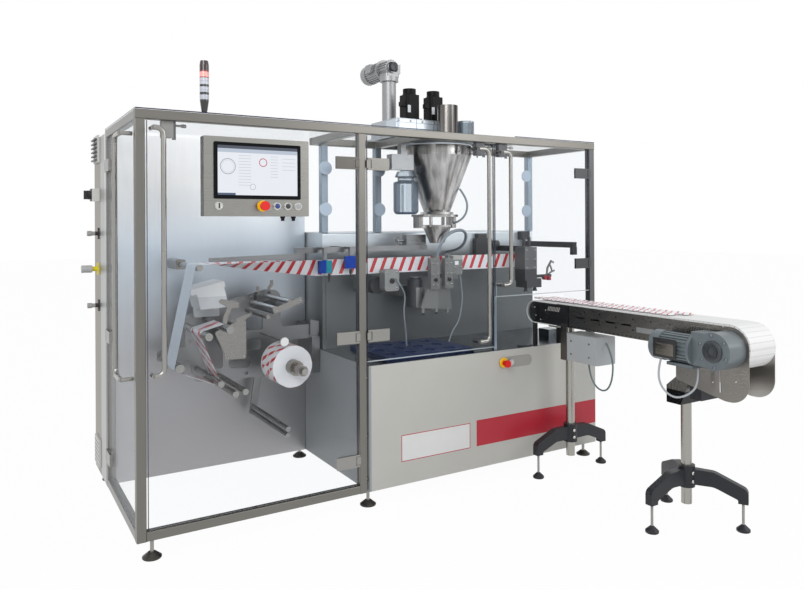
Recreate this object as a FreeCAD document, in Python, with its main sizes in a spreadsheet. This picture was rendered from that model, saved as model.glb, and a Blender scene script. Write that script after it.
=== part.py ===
"""Pouch packing machine: a guarded form, fill and seal line with an outfeed conveyor.

The guard's outer front left corner is the drawing's corner: X runs right along the
front, Y runs back and Z up from the floor.  Each sub-part is drawn from that corner
and then placed so that the front left foot stands on the origin.  Millimetres.
"""

import FreeCAD, Part
import math
import os
import re
import Sketcher

# Driving dimensions

SIZES = {
    # Guard frame of square tube
    "tube": 40, "tube_corner": 4, "frame_length": 2644, "frame_height": 1880,
    "floor_gap": 77, "mid_post": 1040, "cabinet_front": 787, "base_spacer": 12,
    "bay_back": "web_line + hopper_radius + 55", "rear_post_a": "mid_post + 55",
    "rear_post_b": "mid_post + 400", "filler_rail": "filler_x + 284",
    "top_sheet": 6, "pane": 8, "clamp_radius": 38, "clamp_plate": 6,
    "clamp_high": "frame_height - 168", "clamp_low": "wall_top + 132",
    # Levelling feet
    "foot_radius": 40, "foot_pad": 14, "foot_cone": 12, "stem_radius": 8, "foot_inset": 64,
    # Cabinets and process wall
    "cabinet_top": "frame_height - 15", "total_depth": 1167, "table_height": 697, "skin": 3,
    "wall_left": "mid_post + 60", "wall_front": "bay_back - 35", "wall_top": "table_height + 653",
    "wall_round": 12,
    # Doors
    "door_gap": 6, "door_face": 2, "bay_split": "frame_length - 764", "split_gap": 8,
    "bay_sill": "table_height + 20", "right_sill": "table_height + 295", "hinge_plate": 121,
    "hinge_height": 60, "hinge_thick": 12, "hinge_inset": 14, "hinge_end": 4, "hinge_pin": 3,
    "pin_clearance": 0.06, "hinge_block": 22, "block_height": 38, "block_gap": 2,
    "hinge_high": "frame_height - 187", "hinge_middle": 846, "hinge_low": 245,
    "hinge_bay": "table_height + 149", "hinge_right": "right_sill + 166", "handle_radius": 11,
    "handle_bend": 30, "handle_reach": 50, "boss_radius": 9,
    # Operator panel
    "panel_left": 239, "panel_width": 467, "panel_low": "frame_height - 448", "panel_tall": 333,
    "panel_front": 160, "panel_deep": 50, "bezel_width": 386, "bezel_tall": 238,
    "bezel_thick": 4, "spacer_radius": 10, "button_row": "panel_low + 44",
    # Unwinder
    "unwind_front": 600, "unwind_thick": 12, "reel_x": 795, "reel_z": 684,
    "reel_radius": 105, "film_width": 170, "web_line": 340, "chuck_radius": 37.5,
    "shaft_radius": 15, "roller_front": 172, "film_gauge": 1, "bracket_front": 424,
    "dancer_x": 784, "dancer_z": 640, "dancer_thick": 14, "dancer_gap": 78, "dancer_pin": 10,
    # Web of pouches
    "web_top": "table_height + 513", "web_height": 84, "fold_start": 389, "fold_end": 960,
    "web_end": "conveyor_x + 40",
    # Filler
    "filler_x": "mid_post + 686", "hopper_top": "frame_height - 97", "hopper_low": "web_top + 255",
    "hopper_radius": 200, "throat_radius": 76, "hopper_wall": 3, "rim_height": 57,
    "chimney_radius": 60, "chimney_x": "filler_x + 43", "chimney_y": 290,
    "chimney_top": "gearcase_top + 79", "jar_x": "filler_x - 240", "jar_y": 290, "jar_radius": 70,
    "deck_left": "rear_post_b", "deck_right": "filler_x + 304", "deck_front": 120,
    "deck_back": "bay_back + 95", "gearcase_left": "filler_x - 262", "gearcase_right": "filler_x + 94",
    "gearcase_front": 357, "gearcase_back": 660, "gearcase_top": "frame_height + 117",
    "column_x": "filler_x - 165", "column_y": 602, "column_radius": 42, "servo": 90,
    "lift_motor": 57, "auger": 10,
    # Outfeed conveyor
    "conveyor_x": "frame_length - 359", "conveyor_width": 186, "side_plate": 3,
    "plate_top": "right_sill - 42", "plate_low": "plate_top - 120", "inner_end": 78,
    "outer_end": 1290, "belt_gauge": 10, "lobe_low": "plate_low - 202", "lobe_start": 930,
    "drum_y": 1198, "drum_z": "plate_low + 32", "drum_radius": 88, "drive_motor": 65,
    "stand_one": 121, "stand_one_x": "conveyor_x + 35", "stand_two": 913, "mast_radius": 24.15,
    "mast_low": 86, "stand_reach": 240,
}

doc = FreeCAD.newDocument("PouchPacker")
sheet = doc.addObject("Spreadsheet::Sheet", "Sizes")
for row, alias in enumerate(SIZES, 1):
    sheet.set(f"A{row}", alias)
    sheet.setAlias(f"B{row}", alias)
for row, number in enumerate(SIZES.values(), 1):
    sheet.set(f"B{row}", f"={number}")
doc.recompute()

WORD = re.compile(r"[a-z_][a-z_0-9]*")
AXIS_TURN = {
    "x": FreeCAD.Rotation(FreeCAD.Vector(0, 1, 0), 90),
    "y": FreeCAD.Rotation(FreeCAD.Vector(1, 0, 0), -90),
    "z": FreeCAD.Rotation(),
}
PLANES = {"x": "YZ_Plane", "y": "XZ_Plane", "z": "XY_Plane"}
NODES = []
HINGE_BLOCKS = []


# Building blocks

def link(text):
    """Expression in which each dimension's name points at its cell."""
    return WORD.sub(lambda m: "Sizes." + m.group() if m.group() in SIZES else m.group(), str(text))


def value(text):
    """Number that an expression of dimensions has now."""
    found = sheet.evalExpression(str(text))
    return float(getattr(found, "Value", found))


def bind(item, **properties):
    for name, text in properties.items():
        item.setExpression(name, link(text))


def place(item, at, axis="z"):
    """Turn the item's own Z to the axis and bind its corner or centre."""
    item.Placement = FreeCAD.Placement(FreeCAD.Vector(), AXIS_TURN[axis])
    for letter, text in zip("xyz", at):
        item.setExpression(f"Placement.Base.{letter}", link(text))
    return item


def box(size, at):
    item = doc.addObject("Part::Box", "block")
    bind(item, Length=size[0], Width=size[1], Height=size[2])
    return place(item, at)


def rod(radius, length, at, axis="z"):
    item = doc.addObject("Part::Cylinder", "round")
    bind(item, Radius=radius, Height=length)
    return place(item, at, axis)


def cone(low_radius, high_radius, length, at, axis="z"):
    item = doc.addObject("Part::Cone", "taper")
    bind(item, Radius1=low_radius, Radius2=high_radius, Height=length)
    return place(item, at, axis)


def ring(radius, bore, length, at, axis="z"):
    """Round sleeve with a bore right through."""
    return cut(rod(radius, length, at, axis), rod(bore, length, at, axis))


def fuse(*items):
    item = doc.addObject("Part::MultiFuse", "joined")
    item.Shapes = list(items)
    item.Refine = True
    return item


def cut(base, *tools):
    item = doc.addObject("Part::Cut", "opened")
    item.Base = base
    if len(tools) == 1:
        item.Tool = tools[0]
    else:
        tool = doc.addObject("Part::Compound", "cutters")
        tool.Links = list(tools)
        item.Tool = tool
    return item


def outline(sketch, points):
    """Closed outline through points (x, y) or, with a rounded corner, (x, y, radius)."""
    first = sketch.GeometryCount
    count = len(points)
    spots = [FreeCAD.Vector(value(p[0]), value(p[1]), 0) for p in points]
    for i in range(count):
        sketch.addGeometry(Part.LineSegment(spots[i], spots[(i + 1) % count]))
    for i in range(count):
        ends = (first + i, 2, first + (i + 1) % count, 1)
        sketch.addConstraint(Sketcher.Constraint("Coincident", *ends))
    for i, point in enumerate(points):
        for kind, text in (("DistanceX", point[0]), ("DistanceY", point[1])):
            held = sketch.addConstraint(Sketcher.Constraint(kind, -1, 1, first + i, 1, value(text)))
            sketch.setExpression(f"Constraints[{held}]", link(text))
    for i, point in enumerate(points):
        if len(point) == 3:
            start = sketch.GeometryCount
            sketch.fillet(first + i, 1, value(point[2]), True, True)
            for arc in range(start, sketch.GeometryCount):
                if isinstance(sketch.Geometry[arc], Part.ArcOfCircle):
                    held = sketch.addConstraint(Sketcher.Constraint("Radius", arc, value(point[2])))
                    sketch.setExpression(f"Constraints[{held}]", link(point[2]))


def profile(body, axis, loops):
    """Sketch of closed outlines on the body's plane across the axis."""
    plane = next(f for f in body.Origin.OriginFeatures if f.Role == PLANES[axis])
    sketch = body.newObject("Sketcher::SketchObject", "outline")
    sketch.AttachmentSupport = (plane, [""])
    sketch.MapMode = "FlatFace"
    for points in loops:
        outline(sketch, points)
    return sketch


def prism(axis, length, at, *loops):
    """Body padded along +axis from one outline, with any further ones cut out of it."""
    body = doc.addObject("PartDesign::Body", "profile")
    sketch = profile(body, axis, loops)
    doc.recompute()
    pad = body.newObject("PartDesign::Pad", "pad")
    pad.Profile = sketch
    pad.Reversed = axis == "y"
    bind(pad, Length=length)
    for letter, text in zip("xyz", at):
        body.setExpression(f"Placement.Base.{letter}", link(text))
    return body


def turned(points, at):
    """Body of revolution about Z from an outline of (radius, height) points."""
    body = doc.addObject("PartDesign::Body", "turned")
    sketch = profile(body, "y", [points])
    doc.recompute()
    lathe = body.newObject("PartDesign::Revolution", "lathe")
    lathe.Profile = sketch
    lathe.ReferenceAxis = (sketch, ["V_Axis"])
    lathe.Angle = 360
    for letter, text in zip("xyz", at):
        body.setExpression(f"Placement.Base.{letter}", link(text))
    return body


def rectangle(x0, y0, x1, y1, radius=None):
    corners = [(x0, y0), (x1, y0), (x1, y1), (x0, y1)]
    return [c + (radius,) for c in corners] if radius else corners


def plate(thick, front, points, radius=None):
    """Flat plate across Y through points (x, z), its corners rounded by one radius."""
    corners = [tuple(p) + (radius,) if radius and len(p) == 2 else tuple(p) for p in points]
    return prism("y", thick, ("0", front, "0"), corners)


def beside(name, shift):
    """Place that lies that far from a named one."""
    return f"{name} - {-shift}" if shift < 0 else f"{name} + {shift}"


def finned(radius, fin, count, length, at, axis):
    """Motor body with even cooling ribs along it, drawn from the sheet's sizes."""
    reach = value(radius)
    points = []
    for i in range(count):
        for share, depth in ((0, 0), (0.45, 0), (0.5, fin), (0.95, fin)):
            angle = 2 * math.pi * (i + share) / count
            points.append(FreeCAD.Vector(math.cos(angle), math.sin(angle), 0) * (reach - depth))
    item = doc.addObject("Part::Feature", "ribbed")
    item.Shape = Part.Face(Part.makePolygon(points + points[:1])).extrude(FreeCAD.Vector(0, 0, value(length)))
    return place(item, at, axis)


def cord(radius, start, points):
    """Round cord of straight runs whose corners are rounded by tangent arcs.

    The points are measured from start, whose three places are named dimensions."""
    corner = FreeCAD.Vector(*[value(text) for text in start])
    spots = [corner + FreeCAD.Vector(*point) for point in points]
    pieces, bends, here = [], [], spots[0]
    for before, turn_at, after in zip(spots, spots[1:], spots[2:]):
        back, ahead = before - turn_at, after - turn_at
        reach = 0.45 * min(back.Length, ahead.Length)
        back, ahead = back.normalize(), ahead.normalize()
        half = (math.pi - back.getAngle(ahead)) / 2
        bend = reach / math.tan(half)
        first = turn_at + back * reach
        centre = turn_at + (back + ahead).normalize() * (bend / math.cos(half))
        pieces.append(disc(radius, here, back * -1).extrude(first - here))
        swing = (back * -1).cross(ahead)
        pieces.append(disc(radius, first, back * -1).revolve(centre, swing, math.degrees(half * 2)))
        here = turn_at + ahead * reach
        bends.append(round(bend))
    pieces.append(disc(radius, here, spots[-1] - here).extrude(spots[-1] - here))
    print("cord of radius", radius, "bends", bends)
    return pieces[0].multiFuse(pieces[1:]).removeSplitter()


def disc(radius, centre, way):
    return Part.Face(Part.Wire(Part.makeCircle(radius, centre, way)))


def tube_bar(axis, length, at):
    """Square guard tube along +axis, its corners rounded as drawn tube has them."""
    return prism(axis, length, at, rectangle("0", "0", "tube", "tube", "tube_corner"))


def group(parts, at, turn):
    """Parts drawn from one corner, set at the corner and turned about Z."""
    item = doc.addObject("Part::Compound", "group")
    item.Links = list(parts)
    item.Placement = FreeCAD.Placement(FreeCAD.Vector(), FreeCAD.Rotation(FreeCAD.Vector(0, 0, 1), turn))
    for letter, text in zip("xyz", at):
        item.setExpression(f"Placement.Base.{letter}", link(text))
    return item


def node(label, parts, at=("0", "0", "0"), turn=0):
    """Named sub-part, placed so that the front left foot stands on the origin."""
    item = doc.addObject("Part::Compound", label)
    item.Label = label
    item.Links = list(parts)
    about_z = FreeCAD.Rotation(FreeCAD.Vector(0, 0, 1), turn)
    item.Placement = FreeCAD.Placement(FreeCAD.Vector(), about_z)
    shifts = (f"{at[0]} - foot_inset", f"{at[1]} - tube / 2", at[2])
    for letter, text in zip("xyz", shifts):
        item.setExpression(f"Placement.Base.{letter}", link(text))
    NODES.append(item)
    return item


def shaped(label, shape):
    """Named sub-part whose form is worked out here from the sheet's sizes."""
    item = doc.addObject("Part::Feature", label)
    item.Label = label
    item.Shape = shape
    item.setExpression("Placement.Base.x", link("0 - foot_inset"))
    item.setExpression("Placement.Base.y", link("0 - tube / 2"))
    NODES.append(item)
    return item


# Bands that run round rollers

def band_angles(rollers, closed):
    """Direction of the run between each roller and the next.

    A roller is (x, z, radius), its radius positive where the band turns left round it."""
    pairs = list(zip(rollers, rollers[1:] + rollers[:1]))
    if not closed:
        pairs = pairs[:-1]
    angles = []
    for (x0, z0, r0), (x1, z1, r1) in pairs:
        reach = math.hypot(x1 - x0, z1 - z0)
        angles.append(math.atan2(z1 - z0, x1 - x0) - math.asin((r1 - r0) / reach))
    return angles


def band_edges(rollers, angles, shift, closed, spot):
    """Lines and arcs of the band's side that lies shift to the left of its path."""
    def touch(roller, angle):
        reach = roller[2] - shift
        return spot(roller[0] + math.sin(angle) * reach, roller[1] - math.cos(angle) * reach)

    edges = []
    for i, angle in enumerate(angles):
        here, there = rollers[i], rollers[(i + 1) % len(rollers)]
        start, end = touch(here, angle), touch(there, angle)
        edges.append(Part.LineSegment(start, end).toShape())
        if closed or i + 1 < len(angles):
            onward = angles[(i + 1) % len(angles)]
            side = math.copysign(1, there[2])
            swing = (onward - angle) * side % (2 * math.pi) * side
            middle, last = touch(there, angle + swing / 2), touch(there, onward)
            edges.append(Part.Arc(end, middle, last).toShape())
    return edges


def band(rollers, gauge, across, start, width, closed=False):
    """Solid band of an even gauge round rollers whose axes run along across (x or y)."""
    def spot(along, height):
        return FreeCAD.Vector(start, along, height) if across == "x" else FreeCAD.Vector(along, start, height)

    angles = band_angles(rollers, closed)
    left = band_edges(rollers, angles, gauge / 2, closed, spot)
    right = band_edges(rollers, angles, -gauge / 2, closed, spot)
    if closed:
        face = Part.makeFace([Part.Wire(left), Part.Wire(right)], "Part::FaceMakerBullseye")
    else:
        ends = [(left[0].Vertexes[0], right[0].Vertexes[0]), (left[-1].Vertexes[-1], right[-1].Vertexes[-1])]
        caps = [Part.LineSegment(a.Point, b.Point).toShape() for a, b in ends]
        face = Part.Face(Part.Wire(Part.__sortEdges__(left + right + caps)))
    way = FreeCAD.Vector(width, 0, 0) if across == "x" else FreeCAD.Vector(0, width, 0)
    return face.extrude(way)


# Guard

def guard():
    post = "frame_height - tube - floor_gap"
    rear = "frame_height - tube - wall_top"
    top = "frame_height - tube"
    spacers = [
        rod("spacer_radius", "base_spacer", ("mid_post + tube", "tube / 2", height), "x")
        for height in ("floor_gap + 60", "table_height / 2", "table_height - 60")
    ]
    node("guard_posts", [
        tube_bar("z", post, ("0", "0", "floor_gap")),
        fuse(tube_bar("z", post, ("mid_post", "0", "floor_gap")), *spacers),
        tube_bar("z", post, ("0", "cabinet_front - tube", "floor_gap")),
        tube_bar("z", "frame_height - tube - table_height", ("frame_length - tube", "0", "table_height")),
    ] + [
        tube_bar("z", rear, (left, "bay_back - tube", "wall_top"))
        for left in ("rear_post_a", "rear_post_b", "frame_length - tube")
    ])
    node("guard_long_beams", [
        tube_bar("x", "frame_length", ("0", "0", top)),
        tube_bar("x", "frame_length - mid_post", ("mid_post", "bay_back - tube", top)),
        tube_bar("x", "mid_post - tube", ("tube", "0", "floor_gap")),
    ])
    node("guard_cross_rails", [
        tube_bar("y", "cabinet_front - tube", ("0", "tube", top)),
        tube_bar("y", "cabinet_front - 2 * tube", ("0", "tube", "floor_gap")),
    ] + [
        tube_bar("y", "bay_back - 2 * tube", (left, "tube", top))
        for left in ("mid_post", "rear_post_b", "filler_rail", "frame_length - tube")
    ])
    tall = "frame_height - tube - wall_top - 10"
    back = "bay_back - tube - pane"
    gap_left = "conveyor_x - conveyor_width / 2 - 20"
    gap_right = "conveyor_x + conveyor_width / 2 + 20"
    low_tall = "right_sill - 8 - table_height"
    node("fixed_panes", [
        box(("rear_post_b + tube", "cabinet_front", "top_sheet"), ("0", "0", "frame_height")),
        box(("frame_length - filler_rail - tube / 2", "bay_back", "top_sheet"),
            ("filler_rail + tube / 2", "0", "frame_height")),
        box(("rear_post_b - rear_post_a - 10", "pane", tall), ("rear_post_a + tube / 2", back, "wall_top + 5")),
        box(("frame_length - rear_post_b - 2 * tube", "pane", tall),
            ("rear_post_b + tube / 2 + 10", back, "wall_top + 5")),
        box(("pane", "bay_back - 2 * tube", "frame_height - tube - table_height"),
            ("frame_length - tube / 2 - pane / 2", "tube", "table_height")),
        box((f"{gap_left} - bay_split - 4", "pane", low_tall), ("bay_split + 4", "door_face", "table_height")),
        box((f"frame_length - tube - ({gap_right})", "pane", low_tall), (gap_right, "door_face", "table_height")),
    ])
    node("pane_clamps", [
        rod("clamp_radius", "clamp_plate",
            (f"{left} + tube / 2 {shift}", "bay_back - tube - pane - clamp_plate", height), "y")
        for left, shift in (("rear_post_a", ""), ("rear_post_b", ""), ("frame_length - tube", "- clamp_radius - 6"))
        for height in ("clamp_low", "clamp_high")
    ] + [
        box(("20", "20", "right_sill + 80 - table_height"),
            ("bay_split + 4", "door_face + pane + 6", "table_height")),
    ])


def foot(x, y, top):
    """Levelling foot: round pad, sloped hub and a stem up to the frame."""
    profile_points = [
        ("0", "0"), ("foot_radius - 2", "0"), ("foot_radius", "2"), ("foot_radius", "foot_pad / 2"),
        ("stem_radius * 2", "foot_pad + foot_cone"), ("stem_radius", "foot_pad + foot_cone"),
        ("stem_radius", top), ("0", top),
    ]
    return turned(profile_points, (x, y, "0"))


def feet():
    spots = [
        ("foot_inset", "tube / 2"), ("mid_post + foot_inset", "tube"),
        ("frame_length - foot_inset", "tube"), ("foot_inset", "total_depth - foot_inset"),
        ("mid_post + foot_inset", "total_depth - foot_inset * 4"),
        ("mid_post + foot_inset", "total_depth - foot_inset"),
        ("frame_length - foot_inset", "total_depth - foot_inset"),
    ]
    node("machine_feet", [foot(x, y, "floor_gap") for x, y in spots])


# Cabinets

def cabinets():
    left = "mid_post + tube + base_spacer"
    long = f"frame_length - ({left})"
    node("control_cabinet", [
        prism("z", "cabinet_top - floor_gap", ("0", "0", "floor_gap"),
              rectangle("0", "cabinet_front", left, "total_depth", "tube_corner")),
    ])
    node("base_cabinet", [
        box((long, "total_depth", "table_height - skin - floor_gap"), (left, "0", "floor_gap")),
    ])
    node("table_top", [
        fuse(box((long, "wall_front", "skin"), (left, "0", "table_height - skin")),
             box(("120", "30", "8"), ("bay_split - 130", "20", "table_height")),
             box(("90", "30", "8"), ("conveyor_x - conveyor_width / 2 - 115", "20", "table_height")),
             box(("80", "90", "56"), ("conveyor_x + 125", "150", "table_height"))),
    ])
    wall = prism("x", "frame_length - wall_left", ("wall_left", "0", "0"),
                 [("wall_front", "table_height - skin"), ("total_depth", "table_height - skin"),
                  ("total_depth", "wall_top", "wall_round"), ("wall_front", "wall_top", "wall_round")])
    hatch = prism("y", "4", ("0", "wall_front - 4", "0"),
                  rectangle("wall_left + 20", "table_height + 40", "wall_left + 250", "wall_top - 120", "30"))
    node("process_wall", [fuse(wall, hatch)])


def cabinet_fittings():
    """What stands out of the control cabinet's left end."""
    slats = [box(("16", "136", "8"), ("0 - 24", "982", f"cabinet_top - {123 - 22 * i}")) for i in range(6)]
    latches = []
    for height in (1354, 970):
        latches.append(fuse(box(("6", "30", "60"), ("0 - 6", "1000", f"{height - 30}")),
                            rod("11", "30", ("0 - 36", "1015", str(height)), "x"),
                            rod("14", "22", ("0 - 58", "1015", str(height)), "x")))
    node("cabinet_fittings", latches + [
        fuse(box(("10", "150", "146"), ("0 - 10", "975", "cabinet_top - 133")), *slats),
        box(("10", "150", "146"), ("0 - 10", "975", "110")),
        fuse(box(("40", "66", "66"), ("0 - 40", "980", "1526")), rod("24", "14", ("0 - 54", "1013", "1559"), "x"),
             box(("20", "12", "46"), ("0 - 74", "1007", "1536"))),
        fuse(box(("8", "40", "64"), ("0 - 8", "1000", "1133")), rod("13", "26", ("0 - 34", "1020", "1165"), "x"),
             rod("20", "52", ("0 - 86", "1020", "1165"), "x")),
    ])


# Doors

def door_span(side, start, length):
    """Lower end along X of a stretch that starts that far from the post's face."""
    return start if side > 0 else f"0 - ({start}) - ({length})"


def door(name, side, width, sill, heights, at, turn=0):
    """Clear door hung on a post's face, with its hinge plates and the post's blocks.

    side is 1 where the door runs to +X from its post and -1 where it runs to -X."""
    tall = f"frame_height - tube - door_gap - ({sill})"
    panel = box((f"{width} - door_gap", "pane", tall),
                (door_span(side, "door_gap", f"{width} - door_gap"), "door_face", sill))
    notches, plates, blocks = [], [], []
    notch = "hinge_block + block_gap * 2"
    for level in heights:
        low = f"{level} - block_height / 2 - block_gap"
        high = "block_height + block_gap * 2"
        notches.append(box((notch, "pane", high), (door_span(side, "0", notch), "door_face", low)))
        plate = box(("hinge_plate", "hinge_thick", "hinge_height"),
                    (door_span(side, "hinge_end", "hinge_plate"), "door_face - hinge_thick",
                     f"{level} - hinge_height / 2"))
        recess = box((notch, "hinge_thick", high), (door_span(side, "0", notch), "door_face - hinge_thick", low))
        axis = (door_span(side, "hinge_inset", "0"), "door_face - hinge_thick / 2", f"{level} - hinge_height / 2")
        bore = rod("hinge_pin + pin_clearance", "hinge_height", axis)
        plates.append(cut(plate, recess, bore))
        block = box(("hinge_block", "hinge_thick + tube / 2", "block_height"),
                    (door_span(side, "0", "hinge_block"), "door_face - hinge_thick",
                     f"{level} - block_height / 2"))
        blocks.append(fuse(block, rod("hinge_pin", "hinge_height", axis)))
    node(f"{name}_pane", [cut(panel, *notches)], at, turn)
    node(f"{name}_hinge_plates", plates, at, turn)
    HINGE_BLOCKS.append(group(blocks, at, turn))


def handle(name, grip, leg, low, high, at, turn=0):
    """Long bent tube: the grip stands at grip, its ends turn sideways to leg and sit on bosses."""
    away = "door_face - handle_reach"
    to_left = value(leg) < value(grip)
    turn_in = "handle_bend" if to_left else "0 - handle_bend"
    run = f"abs({grip} - ({leg})) - handle_bend"
    pieces = [rod("handle_radius", f"{high} - ({low}) - 2 * handle_bend", (grip, away, f"{low} + handle_bend"))]
    for level, start in ((high, 0 if to_left else 90), (low, 270 if to_left else 180)):
        bend = doc.addObject("Part::Torus", "bend")
        bind(bend, Radius1="handle_bend", Radius2="handle_radius")
        bend.Angle3 = 90
        bend.Placement = FreeCAD.Placement(
            FreeCAD.Vector(), FreeCAD.Rotation(FreeCAD.Vector(1, 0, 0), 90)
            * FreeCAD.Rotation(FreeCAD.Vector(0, 0, 1), start))
        middle = f"{level} - handle_bend" if level == high else f"{level} + handle_bend"
        for letter, text in zip("xyz", (f"{grip} - ({turn_in})", away, middle)):
            bend.setExpression(f"Placement.Base.{letter}", link(text))
        start_x = leg if to_left else f"{leg} - ({run})"
        pieces += [bend, rod("handle_radius", run, (start_x, away, level), "x"),
                   rod("boss_radius", "handle_reach", (leg, away, level), "y")]
    node(f"{name}_handle", [fuse(*pieces)], at, turn)


def doors():
    low_sill = "floor_gap + tube + door_gap"
    three = ("hinge_high", "hinge_middle", "hinge_low")
    mid_left, mid_right = ("mid_post", "0", "0"), ("mid_post + tube", "0", "0")
    right, rear = ("frame_length - tube", "0", "0"), ("0", "cabinet_front - tube", "0")
    door("left_front_door", -1, "mid_post - tube - door_gap", low_sill, three, mid_left)
    handle("left_front_door", "104 - mid_post", "62 - mid_post", "772", "frame_height - 80", mid_left)
    door("bay_left_door", 1, "bay_split - split_gap / 2 - mid_post - tube", "bay_sill", ("hinge_high", "hinge_bay"),
         mid_right)
    handle("bay_left_door", "bay_split - 75 - mid_post - tube", "bay_split - 143 - mid_post - tube",
           "table_height + 69", "frame_height - 84", mid_right)
    door("bay_right_door", -1, "frame_length - tube - bay_split - split_gap / 2", "right_sill",
         ("hinge_high", "hinge_right"), right)
    handle("bay_right_door", "bay_split + 75 - frame_length + tube", "bay_split + 20 - frame_length + tube",
           "right_sill + 68", "frame_height - 94", right)
    door("left_end_door", 1, "cabinet_front - 2 * tube - door_gap", low_sill, three, rear, -90)
    handle("left_end_door", "cabinet_front - tube - 200", "cabinet_front - tube - 70", "749",
           "frame_height - 97", rear, -90)
    node("hinge_blocks", HINGE_BLOCKS)


def operator_panel():
    """Stainless box on four spacers from the left front door, with screen and push buttons."""
    front = "0 - panel_front"
    middle = "panel_left + panel_width / 2"
    screen_low = "panel_low + panel_tall - bezel_tall - 22"
    corners = [(x, z) for x in ("panel_left + 60", "panel_left + panel_width - 60")
               for z in ("panel_low + 60", "panel_low + panel_tall - 60")]
    glands = [
        fuse(rod("11", "8", (x, "panel_deep / 2 - panel_front", "panel_low - 8")),
             rod("8", "20", (x, "panel_deep / 2 - panel_front", "panel_low - 20")))
        for x in ("panel_left + 353", "panel_left + 403")
    ]
    node("operator_panel", [
        fuse(prism("y", "panel_deep", ("0", front, "0"),
                   rectangle("panel_left", "panel_low", "panel_left + panel_width",
                             "panel_low + panel_tall", "3")),
             prism("y", "bezel_thick", ("0", "0 - panel_front - bezel_thick", "0"),
                   rectangle(f"{middle} - bezel_width / 2", screen_low, f"{middle} + bezel_width / 2",
                             f"{screen_low} + bezel_tall", "6")),
             *[rod("spacer_radius", "door_face + panel_front - panel_deep", (x, "panel_deep - panel_front", z), "y")
               for x, z in corners], *glands),
    ])
    buttons = [rod("15", "8", (x, "0 - panel_front - 8", "button_row"), "y")
               for x in ("panel_left + 62", "panel_left + 317", "panel_left + 366", "panel_left + 415")]
    stop_x = "panel_left + 252"
    node("operator_buttons", buttons + [
        fuse(rod("24", "4", (stop_x, "0 - panel_front - 4", "button_row"), "y"),
             rod("14", "24", (stop_x, "0 - panel_front - 28", "button_row"), "y"),
             rod("20", "12", (stop_x, "0 - panel_front - 40", "button_row"), "y")),
    ])


def signals():
    """Lamp column on the front beam and the safety switches above the doors."""
    steps = [("0", "0"), ("11", "0"), ("13", "8"), ("19", "50"), ("19", "58"), ("20", "58"), ("20", "94"),
             ("19", "94"), ("19", "98"), ("20", "98"), ("20", "134"), ("19", "134"), ("19", "138"),
             ("20", "138"), ("20", "174"), ("19", "174"), ("19", "178"), ("20", "178"), ("20", "208"),
             ("17", "226"), ("0", "226")]
    node("signal_column", [turned(steps, ("293", "tube / 2", "frame_height + top_sheet"))])
    switches = []
    for x in ("110", "bay_split - 110", "bay_split + 45"):
        switches.append(fuse(box(("44", "30", "72"), (x, "door_face + pane + 8", "frame_height - tube - 72")),
                             box(("16", "6", "80"), (f"{x} + 44", "door_face + pane + 8", "frame_height - tube - 80"))))
    node("door_switches", switches)
    stop_x, stop_z = "bay_split + 55", "table_height - 71"
    node("front_stop", [
        fuse(prism("y", "2", ("0", "0 - 2", "0"), rectangle("bay_split + 25", f"{stop_z} - 30", "bay_split + 260",
                                                         f"{stop_z} + 30", "29")),
             rod("27", "4", (stop_x, "0 - 6", stop_z), "y"), rod("14", "26", (stop_x, "0 - 32", stop_z), "y"),
             rod("20", "12", (stop_x, "0 - 44", stop_z), "y"), rod("17", "10", ("bay_split + 105", "0 - 12", stop_z), "y"),
             rod("12", "10", ("bay_split + 105", "0 - 20", stop_z), "y")),
    ])


# Unwinder

ROLLERS = {
    "lower_left": ("408", "656", "15"), "lower_mid": ("477", "601", "15"),
    "lower_right": ("524", "607", "15"), "edge": ("236", "735", "20"),
    "turn": ("329", "web_top - 15", "15"), "top_left": ("352", "880", "18"),
    "top_mid": ("452", "905", "18"),
}


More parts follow.
